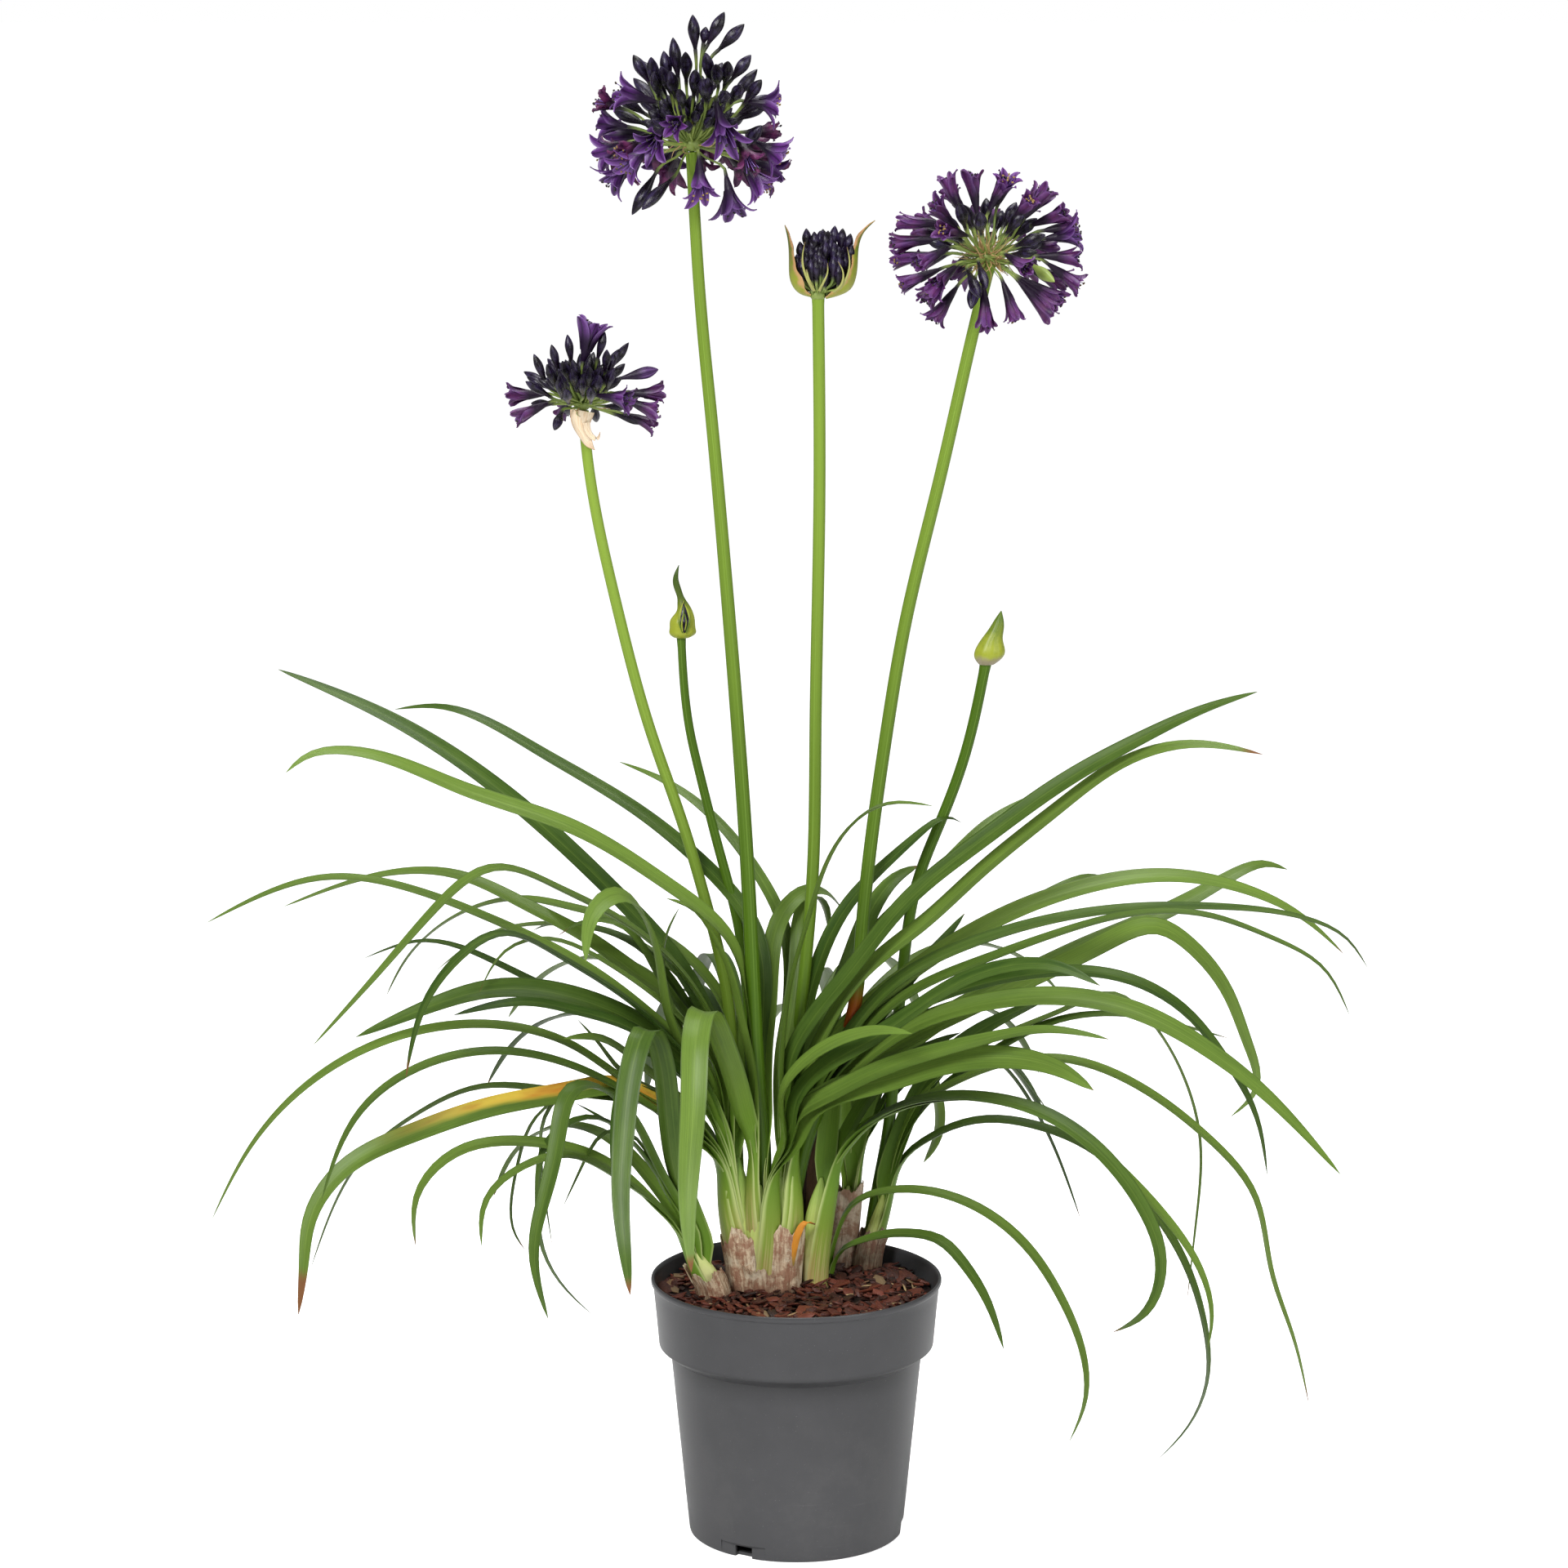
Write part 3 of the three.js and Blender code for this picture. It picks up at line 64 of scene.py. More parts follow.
class Wire:
    """A socket in a material. Arithmetic on it adds Math nodes, and node() adds any other kind."""

    def __init__(self, tree, socket=None):
        self.tree, self.socket = tree, socket

    def node(self, kind, settings, values, output=0):
        """A node of one kind: its settings first, then the values or wires of its sockets."""
        made = self.tree.nodes.new("ShaderNode" + kind)
        for name, value in settings.items():
            setattr(made, name, value)
        for name, value in values.items():
            if isinstance(value, Wire):
                self.tree.links.new(value.socket, made.inputs[name])
            else:
                made.inputs[name].default_value = value
        return Wire(self.tree, made.outputs[output] if made.outputs else None)

    def math(self, operation, *values):
        return self.node("Math", {"operation": operation}, dict(enumerate(values)))

    def __add__(self, other):
        return self.math("ADD", self, other)

    def __sub__(self, other):
        return self.math("SUBTRACT", self, other)

    def __mul__(self, other):
        return self.math("MULTIPLY", self, other)

    def __rsub__(self, other):
        return self.math("SUBTRACT", other, self)

    __radd__, __rmul__ = __add__, __mul__

    def size(self):
        """The value without its sign."""
        return self.math("ABSOLUTE", self)

    def fade(self, low, high):
        """0 below low and 1 above high, smooth between. With low above high it falls instead."""
        ends = {"From Min": low, "From Max": high} if low < high else {"From Min": high, "From Max": low}
        risen = self.node("MapRange", {"interpolation_type": "SMOOTHSTEP"}, {"Value": self, **ends})
        return risen if low < high else 1 - risen

    def blend(self, low, high):
        """The colour low where this is 0 and high where it is 1."""
        return self.node("Mix", {"data_type": "RGBA"}, {0: self, 6: low, 7: high}, 2)

    def mark(self, name):
        """The three parts of a mark that a mesh carries at each point."""
        read = self.node("Attribute", {"attribute_name": name}, {}, "Vector")
        return [self.node("SeparateXYZ", {}, {0: read}, part) for part in range(3)]

    def spot(self):
        """The point itself, in the part's own frame."""
        return self.node("TexCoord", {}, {}, "Object")

    def vector(self, x, y, z):
        return self.node("CombineXYZ", {}, {0: x, 1: y, 2: z})

    def noise(self, where, scale, detail=2, roughness=0.5):
        values = {"Vector": where, "Scale": scale, "Detail": detail, "Roughness": roughness}
        return self.node("TexNoise", {}, values)

    def finish(self, colour, roughness, relief=None, depth=0.0, **constants):
        """Closes the material: colour and roughness, and relief as a bump of that depth in metres."""
        values = {"Base Color": colour, "Roughness": roughness}
        values.update({name.replace("_", " "): value for name, value in constants.items()})
        if relief is not None:
            values["Normal"] = self.node("Bump", {}, {"Height": relief, "Distance": depth, "Strength": 1.0})
        shader = self.node("BsdfPrincipled", {}, values)
        self.node("OutputMaterial", {}, {"Surface": shader})


def new_material(name):
    """An empty material, and a wire to build it with."""
    material = bpy.data.materials.new(name)
    material.use_nodes = True
    material.node_tree.nodes.clear()
    return material, Wire(material.node_tree)


FLOOR_HALF = 40
FLOOR_COLOUR = (0.92, 0.92, 0.92, 1)
FLOOR_GLOW = (0.76, 0.76, 0.76, 1)  # lifts the floor to the white of the surroundings
SURROUNDINGS = 0.3  # how strongly the white surroundings light the plant

floor_mesh = bpy.data.meshes.new("floor")
floor_corners = [(-1, -1), (1, -1), (1, 1), (-1, 1)]
floor_mesh.from_pydata([(FLOOR_HALF * x, FLOOR_HALF * y, 0) for x, y in floor_corners], [], [(0, 1, 2, 3)])
floor_paint, wire = new_material("pale_floor")
seen = wire.node("LightPath", {}, {}, "Is Camera Ray")
glow = seen.blend((0, 0, 0, 1), FLOOR_GLOW)
wire.finish(FLOOR_COLOUR, 0.95, Emission_Color=glow, Emission_Strength=1)
floor_mesh.materials.append(floor_paint)
floor = bpy.data.objects.new("floor", floor_mesh)
bpy.context.scene.collection.objects.link(floor)

world = bpy.data.worlds.new("studio")
world.use_nodes = True
world.node_tree.nodes.clear()
wire = Wire(world.node_tree)
seen = wire.node("LightPath", {}, {}, "Is Camera Ray")
strength = wire.node("MapRange", {}, {"Value": seen, "To Min": SURROUNDINGS})
sky = wire.node("Background", {}, {"Color": (1, 1, 1, 1), "Strength": strength})
wire.node("OutputWorld", {}, {"Surface": sky})
bpy.context.scene.world = world


def softbox(name, place, width, watts):
    """A square light that faces the middle of the plant."""
    data = bpy.data.lights.new(name, "AREA")
    data.size = width
    data.energy = watts
    lamp = bpy.data.objects.new(name, data)
    lamp.location = place
    aim = lamp.location.copy()
    aim.z -= 0.6
    lamp.rotation_euler = aim.to_track_quat("Z", "Y").to_euler()
    bpy.context.scene.collection.objects.link(lamp)


softbox("key_light", (-1.5, -2.6, 2.7), 1.3, 118)
softbox("fill_light", (2.3, -2.2, 1.7), 1.6, 44)
softbox("top_light", (0.3, 0.3, 3.2), 1.6, 60)

# ---- Pot ----------------------------------------------------------------------------------------
# A round nursery container, injection moulded in dark grey plastic: a tapered body, a deep collar
# with a thin rolled rim, and three shallow drain notches round the foot. Its surface is satin, with
# the faint mottling of recycled plastic and a few rubs from handling.
POT_SIDES = 192
# Each point's radius and height: under the foot and round it, up the tapered body, out under the
# collar and up its face, over the rolled rim, and down inside to the floor.
POT_OUTLINE = [
    (0.5, 0.0), (60, 0.0), (81.5, 0.0), (83.6, 0.35), (84.7, 1.2), (85.1, 2.6), (85.3, 4),
    (86.5, 16), (88.5, 36), (91.4, 66), (94.4, 96), (97.3, 126), (98.8, 141), (99.3, 146.2), (99.5, 147.7),
    (100.2, 148.3), (108.2, 154.2), (108.7, 154.8), (108.9, 155.8), (109.1, 158.5), (109.7, 165),
    (111.3, 183), (112.7, 197), (113.1, 202.2), (113.5, 203.4),
    (114.5, 204.1), (115.0, 205.2), (115.0, 207.0), (114.6, 208.1), (113.9, 208.5), (112.9, 208.3),
    (112.2, 207.4), (111.7, 205), (110.9, 198), (109.6, 184), (107.6, 159), (106.4, 153), (98, 147.6),
    (97.5, 140), (86, 20), (80.6, 13), (80.5, 2.5), (0.5, 2.5),
]
FOOT_RADIUS = 85.0
NOTCHES = [-120, 0, 120]  # degrees from the right-hand side
RECESS = (40, 11.5, 2.4)  # width, height and depth of a notch
DRAIN = (15, 9, 7)  # the same for the drain hole in it
CUTTER_REACH = 20  # how far a cutter stands out below the foot and beside it


class Skin:
    """The faces of one piece, gathered from rings of points in millimetres.

    Each point carries two marks for its material: place and kind, of three numbers each.
    """

    def __init__(self):
        self.points, self.faces, self.layers = [], [], []
        self.marks = {"place": [], "kind": []}
        self.count = 0

    def cover(self, rings, place=(0, 0, 0), kind=(0, 0, 0), layer=0, loop=False):
        """A closed skin over rings, which turn to the right about the way that they follow.

        Its ends are capped, or with loop the last ring joins the first.
        """
        rings = np.asarray(rings, float)
        rows, sides = rings.shape[:2]
        index = self.count + np.arange(rows * sides).reshape(rows, sides)
        lower = index if loop else index[:-1]
        upper = np.roll(index, -1, axis=0) if loop else index[1:]
        quads = np.stack([lower, np.roll(lower, -1, axis=1), np.roll(upper, -1, axis=1), upper], axis=-1)
        faces = quads.reshape(-1, 4).tolist()
        if not loop:
            faces += [index[0, ::-1].tolist(), index[-1].tolist()]
        self.faces += faces
        self.layers += [layer] * len(faces)
        self.points.append(rings.reshape(-1, 3))
        for name, value in (("place", place), ("kind", kind)):
            self.marks[name].append(np.broadcast_to(value, rings.shape).reshape(-1, 3))
        self.count += rows * sides

    def piece(self, name, node, slot, *materials, sharp=42):
        """The finished piece, which stands for a solid of the part and takes its finish from the materials
        given; slot is not used.
        """
        mesh = bpy.data.meshes.new(name)
        mesh.from_pydata((np.concatenate(self.points) * 0.001).tolist(), [], self.faces)
        for mark, rows in self.marks.items():
            values = np.concatenate(rows).astype(np.float32).ravel()
            mesh.attributes.new(mark, "FLOAT_VECTOR", "POINT").data.foreach_set("vector", values)
        mesh.polygons.foreach_set("material_index", np.array(self.layers, np.int32))
        mesh.shade_smooth()
        mesh.set_sharp_from_angle(angle=math.radians(sharp))
        for material in materials:
            mesh.materials.append(material)
        made = bpy.data.objects.new(name, mesh)
        bpy.context.scene.collection.objects.link(made)
        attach(made, "root")
        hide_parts(node)
        return made


def angles(sides):
    return 2 * np.pi * np.arange(sides) / sides


def oval(centre, u, v, radius_u, radius_v, angle):
    """Points about a centre, or about each of many, that turn from direction u to direction v."""
    return centre + (radius_u * np.cos(angle))[..., None] * u + (radius_v * np.sin(angle))[..., None] * v


def block(low, high, turn):
    """A cutter between two corners, turned about the pot's axis."""
    x, y, z = zip(low, high)
    corners = np.array([(a, b, c) for a in x for b in y for c in z]) * 0.001
    cosine, sine = math.cos(math.radians(turn)), math.sin(math.radians(turn))
    turned = corners @ np.array([[cosine, sine, 0], [-sine, cosine, 0], [0, 0, 1]])
    sides = [(0, 1, 3, 2), (4, 6, 7, 5), (0, 4, 5, 1), (2, 3, 7, 6), (0, 2, 6, 4), (1, 5, 7, 3)]
    mesh = bpy.data.meshes.new("notch_cutter")
    mesh.from_pydata(turned.tolist(), [], sides)
    cutter = bpy.data.objects.new("notch_cutter", mesh)
    bpy.context.scene.collection.objects.link(cutter)
    return cutter


def pot_plastic():
    """Dark grey polypropylene: mottling, pale specks, faint rubs round the pot, painted light towards the
    foot, painted shadow under the collar.
    """
    material, wire = new_material("pot_plastic")
    spot = wire.spot()
    x, y, z = [wire.node("SeparateXYZ", {}, {0: spot}, part) for part in range(3)]
    mottle = wire.noise(spot, 42, 4, 0.6)
    specks = wire.noise(spot, 900, 1).fade(0.74, 0.8)
    rubs = wire.noise(wire.vector(x * 16, y * 16, z * 260), 1, 3, 0.6).fade(0.6, 0.8)
    worn = wire.noise(spot, 7, 2).fade(0.52, 0.7) * rubs
    dust = z.fade(0.2, 0.02) * wire.noise(spot, 26, 4, 0.7).fade(0.42, 0.75)
    grey = mottle.blend(paint(56, 56, 58), paint(65, 65, 67))
    # painted light: the body grows lighter from below the collar down to the foot
    grey = (z.fade(0.15, 0.01) * 0.5).blend(grey, paint(78, 78, 80))
    # painted shadow: a dark band on the body just under the collar, where the collar's shade falls
    grey = (z.fade(0.128, 0.147) * z.fade(0.158, 0.154) * 0.5).blend(grey, paint(36, 36, 37))
    grey = (specks * 0.3).blend(grey, paint(140, 138, 135))
    grey = (worn * 0.3 + dust * 0.12).blend(grey, paint(112, 110, 108))
    roughness = 0.3 + mottle * 0.08 + worn * 0.14 + dust * 0.1
    wire.finish(grey, roughness, wire.noise(spot, 1400, 1), 0.00003, Specular_IOR_Level=0.35)
    return material


EAST, NORTH, UP = np.eye(3)
pot_skin = Skin()
pot_skin.cover([oval(UP * z, EAST, NORTH, r, r, angles(POT_SIDES)) for r, z in POT_OUTLINE])
pot = pot_skin.piece("pot_moulding", "pot", "pot_plastic", pot_plastic(), sharp=35)
for angle in NOTCHES:
    for width, height, depth in (RECESS, DRAIN):
        low = (FOOT_RADIUS - depth, -width / 2, -CUTTER_REACH)
        cutter = block(low, (FOOT_RADIUS + CUTTER_REACH, width / 2, height), angle)
        cut = pot.modifiers.new("notch", "BOOLEAN")
        cut.operation, cut.solver, cut.object = "DIFFERENCE", "EXACT", cutter
        with bpy.context.temp_override(object=pot, active_object=pot, selected_objects=[pot]):
            bpy.ops.object.modifier_apply(modifier=cut.name)
        bpy.data.objects.remove(cutter)

# ---- Bark compost -------------------------------------------------------------------------------
# Damp pine bark chips that fill the pot to a finger's breadth below the rim and rise a little
# towards the shoots. They lie as they fell, red-brown, with a few pale splinters, over a bed
# painted near black as the shade in the gaps between them.
SOIL_LEVEL, SOIL_MOUND = 195.0, 3.0
SOIL_RADIUS = 109.0
BED_SIDES, BED_RINGS = 96, 26
BED_DEPTH, BED_ROUGHNESS = 2.6, 1  # below the level of the chips, and up and down about that
CHIPS = 1250
CHIP_SIZES = (1.6, 6.6)  # from the middle to the edge
CHIP_CORNERS = 7
CHIP_BEVEL = [(-1, 0.62), (-0.5, 0.96), (0.35, 1), (1, 0.78)]  # from its underside to its top, how wide it is
SPLINTERS = 60
# Where shoots stand and no chip lies: x, y and radius
FOOT_PRINTS = [
    (-37, 10, 17), (-14, 10, 18), (-66, -15, 12), (14, 16, 9), (37, 75, 11), (58, 66, 10), (24, 41, 4),
]


def bark():
    """Red-brown bark, each chip its own shade, with fibres along it, dark pits, and painted shade on the bed
    between chips.
    """
    material, wire = new_material("bark")
    along, across, shade = wire.mark("place")
    tint, pale, number = wire.mark("kind")
    spot = wire.spot()
    fibre = wire.noise(wire.vector(along * 1.2, across * 7, number * 60), 1, 3, 0.65)
    grain = wire.noise(spot, 420, 3, 0.7)
    brown = tint.blend(paint(34, 17, 13), paint(106, 48, 32))
    brown = (fibre.fade(0.5, 0.8) * 0.55).blend(brown, paint(150, 84, 60))
    brown = (grain.fade(0.56, 0.7) * 0.5).blend(brown, paint(30, 16, 13))
    # painted shade: the bed between the chips, marked 1 here, is darkened nearly to black
    brown = (shade * 0.85).blend(brown, paint(24, 14, 12))
    brown = pale.blend(brown, paint(196, 168, 122))
    wire.finish(brown, 0.26 + grain * 0.5, fibre * 0.6 + grain * 0.4, 0.0006, Specular_IOR_Level=0.45)
    return material


bark_dice = np.random.default_rng(11)
bark_skin = Skin()


def mix(low, high, share):
    return low + (high - low) * share


def unit(vectors):
    return vectors / np.linalg.norm(vectors, axis=-1, keepdims=True)


def mark_of(*parts):
    """The three numbers of a mark, for every point of a skin."""
    return np.stack(np.broadcast_arrays(*parts), axis=-1)


def mound(radius):
    return SOIL_LEVEL + SOIL_MOUND * (1 - (radius / SOIL_RADIUS) ** 2)


# The bed under the chips, painted near black as the shade in the gaps between them. It goes down to just
# below the pot's collar.
bed_outline = [(97, 150), (106.8, 160), (SOIL_RADIUS, 189)]
bed_rings = [oval(UP * z, EAST, NORTH, r, r, angles(BED_SIDES)) for r, z in bed_outline]
for radius in np.linspace(SOIL_RADIUS, 2, BED_RINGS):
    ring = oval(UP * (mound(radius) - BED_DEPTH), EAST, NORTH, radius, radius, angles(BED_SIDES))
    ring[:, 2] += bark_dice.uniform(-BED_ROUGHNESS, BED_ROUGHNESS, BED_SIDES)
    bed_rings.append(ring)
bark_skin.cover(bed_rings, place=(0, 0, 1), kind=(0.2, 0, 0.5))


def chip(centre, size, stretch, thickness, way, lean, kind):
    """A flat broken piece of bark with an uneven outline and bevelled edges."""
    along = unit(np.array([math.cos(way), math.sin(way), lean[0]]))
    side = np.cross(UP, along) + UP * lean[1]
    side = unit(side - along * side.dot(along))
    top = np.cross(along, side)
    angle = angles(CHIP_CORNERS) + bark_dice.uniform(-0.3, 0.3, CHIP_CORNERS)
    reach = size * bark_dice.uniform(0.65, 1.1, CHIP_CORNERS)
    u, v = reach * stretch * np.cos(angle), reach * np.sin(angle)
    rings, places = [], []
    for level, swell in CHIP_BEVEL:
        rise = level * thickness / 2 + bark_dice.uniform(-0.12, 0.12, CHIP_CORNERS) * thickness
        ring = centre + (swell * u)[:, None] * along + (swell * v)[:, None] * side
        rings.append(ring + rise[:, None] * top)
        places.append(mark_of(swell * u / size, swell * v / size, 0.0))
    bark_skin.cover(rings, place=places, kind=kind)


placed = 0
while placed < CHIPS:
    radius = (SOIL_RADIUS - 3) * math.sqrt(bark_dice.uniform(0.0, 1))
    angle = bark_dice.uniform(0, 2 * np.pi)
    x, y = radius * math.cos(angle), radius * math.sin(angle)
    if any(math.hypot(x - a, y - b) < r - 2 for a, b, r in FOOT_PRINTS):
        continue
    size = mix(*CHIP_SIZES, bark_dice.uniform(0, 1) ** 1.5)
    height = mound(radius) + bark_dice.uniform(-2.6, 2.0)
    look = (bark_dice.uniform(0, 1) ** 1.3, 0.3 * (bark_dice.uniform(0, 1) > 0.98), bark_dice.uniform(0, 1))
    chip(np.array([x, y, height]), size, bark_dice.uniform(1, 2.1), bark_dice.uniform(0.8, 2.4),
         bark_dice.uniform(0, 2 * np.pi), bark_dice.uniform(-0.5, 0.5, 2), kind=look)
    placed += 1
for _ in range(SPLINTERS):
    radius, angle = SOIL_RADIUS * math.sqrt(bark_dice.uniform(0.1, 0.9)), bark_dice.uniform(0, 2 * np.pi)
    spot = np.array([radius * math.cos(angle), radius * math.sin(angle), mound(radius) + 1.4])
    look = (0.6, bark_dice.uniform(0.3, 1), bark_dice.uniform(0, 1))
    chip(spot, bark_dice.uniform(0.4, 1.1), bark_dice.uniform(3, 7), 0.7, bark_dice.uniform(0, 2 * np.pi),
         bark_dice.uniform(-0.25, 0.25, 2), kind=look)
bark_skin.piece("bark_chips", "soil", "bark", bark(), sharp=50)

# ---- Shoots: columns of leaf bases and their leaves ---------------------------------------------
# Each shoot is a fan of strap leaves whose pale fleshy bases wrap round each other and make a
# column. Two big fans stand pressed together in the middle, with four lesser shoots and a seedling
# round them. A blade is channelled along its middle, thick at its keel and thin at its margins.
LEAF_STEP = 9.0  # millimetres between cross-sections
LEAF_SIDES = 11  # points across each face
LEAF_THICKNESS = 1.5
THICK_ROOT, THICK_TIP = 1.5, 0.7  # times that, at the root and at the tip
LEAF_KEEL, KEEL_SPREAD = 0.5, 0.16  # how far the keel stands out, and its share of the blade's half width
THIN_BELOW, KEEL_BELOW = 2.2, 4.0  # half widths below which a blade thins and its keel fades
LEAF_ROOT, ROOT_LEAN = 34.0, 0.4  # how far a blade goes on down inside its column, and how it leans there
FULL_SPREAD = 250  # a leaf that reaches this far forward or back is rooted at the edge of its column
BLADE_EASE = 1.3  # above 1, it stays over its root for a while before it heads that way
LEAST_RISE = 20  # between the first two points of a path, when its root's lean is worked out
FULL_FROM = 0.28  # share of its length where a blade reaches its full width
ROOT_WIDTH = 0.92  # share of its full width at the root
TIP_TAPER, TIP_BLUNTNESS = 3.2, 0.62  # how late and how bluntly it narrows to its tip
BLADE_FULLNESS = 1.1  # times the width in its row
LEAST_HALF = 0.25  # half width at the very tip
ROOT_TURN = 14  # degrees more that a blade shows its face near its root
SWAY = 5  # degrees that it rocks to each side along its length
CHANNEL_ROOT, CHANNEL_TIP = 0.4, 0.16  # depth of the channel, as a share of half the width
CHANNEL_FOLD = 0.3  # how much the channel is folded like a V, where the rest is round
CLASP = [math.radians(angle) for angle in (112, 70, 34)]  # to each side: low down, at the fork, and above it
CLASP_EASE = (34.0, 105.0)  # how far above its fork the innermost and the outermost blade leave the column
FLARE_RUN = 120.0  # how far above its fork a blade still stands off from its line, towards its side
CLASP_DEPTH = 12.0  # how far below the bark's surface the bases begin
CLASP_REACH = (0.22, 1.08)  # radius of the innermost and outermost base, as a share of the column's
FACING_SHARE, FACING_MOST = 0.5, 0.8  # how far a base turns towards its leaf's heading


def spline(knots, values, at):
    """Rows of values between their knots, by a natural cubic spline."""
    knots, values = np.asarray(knots, float), np.asarray(values, float)
    count, gaps = len(knots), np.diff(knots)
    left, right = np.eye(count), np.zeros(values.shape)
    for i in range(1, count - 1):
        left[i, i - 1:i + 2] = gaps[i - 1], 2 * (gaps[i - 1] + gaps[i]), gaps[i]
        right[i] = 6 * ((values[i + 1] - values[i]) / gaps[i] - (values[i] - values[i - 1]) / gaps[i - 1])
    bend = np.linalg.solve(left, right)
    i = np.clip(np.searchsorted(knots, at, side="right") - 1, 0, count - 2)
    a, b, gap = (at - knots[i])[:, None], (knots[i + 1] - at)[:, None], gaps[i][:, None]
    curved = (bend[i] * b**3 + bend[i + 1] * a**3) / (6 * gap)
    curved = curved + (values[i] / gap - bend[i] * gap / 6) * b
    return curved + (values[i + 1] / gap - bend[i + 1] * gap / 6) * a


def smooth_line(points, step):
    """Points about a step apart on a smooth curve, with its direction and length at each."""
    points = np.asarray(points, float)
    knots = np.concatenate([[0], np.cumsum(np.linalg.norm(np.diff(points, axis=0), axis=1))])
    fine = spline(knots, points, np.linspace(0, knots[-1], max(int(knots[-1] / step * 3), 12)))
    length = np.concatenate([[0], np.cumsum(np.linalg.norm(np.diff(fine, axis=0), axis=1))])
    run = np.linspace(0, length[-1], max(int(length[-1] / step), 8))
    line = np.stack([np.interp(run, length, fine[:, k]) for k in range(3)], axis=1)
    return line, unit(np.gradient(line, axis=0)), run


def square_to(along, way):
    """The direction nearest to way that stands square to each direction of a line."""
    return unit(way - along * (along @ way)[:, None])


def both_faces(count):
    """Where the points round a thin blade lie across it, from -1 to 1, and to its two faces, -1 and 1."""
    angle = np.pi * np.arange(count) / (count - 1)
    across, side = np.cos(angle), np.sin(angle)
    return np.concatenate([across, across[-2:0:-1]]), np.concatenate([-side, side[-2:0:-1]])


def eased(share):
    share = np.clip(share, 0, 1)
    return share * share * (3 - 2 * share)


def column_at(rows, heights):
    """Centre and half axes of a column at some heights, from rows of [x, y, z, half width, half depth]."""
    rows = np.asarray(rows, float)
    found = spline(rows[:, 2], rows, np.clip(heights, rows[0, 2], rows[-1, 2]))
    return found[:, :3], np.maximum(found[:, 3:4], 0.3), np.maximum(found[:, 4:5], 0.3)


def strap(path, root_y, tip_y, width, turn, dice):
    """The blade of a leaf: its line, the run along it, its places across, its rings, and its surface.

    The surface is how far each point lies below the fold that the blade is laid in.
    """
    # Its spine, from inside the column to the tip, and the frame that turns along it.
    ease = (np.arange(len(path)) / (len(path) - 1)) ** BLADE_EASE
    spine = [(x, y, z) for (x, z), y in zip(path, mix(root_y, tip_y, ease))]
    lean = (path[1][0] - path[0][0]) / max(path[1][1] - path[0][1], LEAST_RISE)
    spine.insert(0, (path[0][0] - LEAF_ROOT * lean * ROOT_LEAN, root_y, path[0][1] - LEAF_ROOT))
    line, along, run = smooth_line(spine, LEAF_STEP)
    share = (run / run[-1])[:, None]
    across = np.cross(unit((line[-1] - line[0]) * [1, 1, 0]), UP)
    frontward = -1 if across[1] > 0 else 1
    side = square_to(along, across)
    normal = np.cross(side, along)
    sway = dice.uniform(-SWAY, SWAY) * np.sin(share * dice.uniform(4, 8) + dice.uniform(0, 6))
    roll = np.radians(mix(turn[0] + ROOT_TURN, turn[1], share) + sway) * frontward
    face = normal * np.cos(roll) + side * np.sin(roll)
    edge = side * np.cos(roll) - normal * np.sin(roll)
    # Its cross-sections: widest in the middle stretch, channelled, with a keel underneath.
    late = np.clip((share - FULL_FROM) / (1 - FULL_FROM), 0, 1)
    tapered = (1 - late**TIP_TAPER) ** TIP_BLUNTNESS
    shape = np.where(share < FULL_FROM, mix(ROOT_WIDTH, 1, share / FULL_FROM), tapered)
    half = np.maximum(width / 2 * BLADE_FULLNESS * shape, LEAST_HALF)
    thickness = LEAF_THICKNESS * mix(THICK_ROOT, THICK_TIP, share) * np.minimum(1, half / THIN_BELOW)
    u, to_face = both_faces(LEAF_SIDES)
    channel = half * mix(CHANNEL_ROOT, CHANNEL_TIP, share)
    fold = channel * (CHANNEL_FOLD * np.abs(u) + (1 - CHANNEL_FOLD) * u**2)
    keel = LEAF_KEEL * np.minimum(1, half / KEEL_BELOW)
    keel = keel * np.exp(-((u / KEEL_SPREAD) ** 2)) * (to_face < 0)
    up = fold + thickness / 2 * to_face - keel
    rings = line[:, None] + edge[:, None] * (half * u)[..., None] + face[:, None] * up[..., None]
    return line, run, u, rings, fold - up


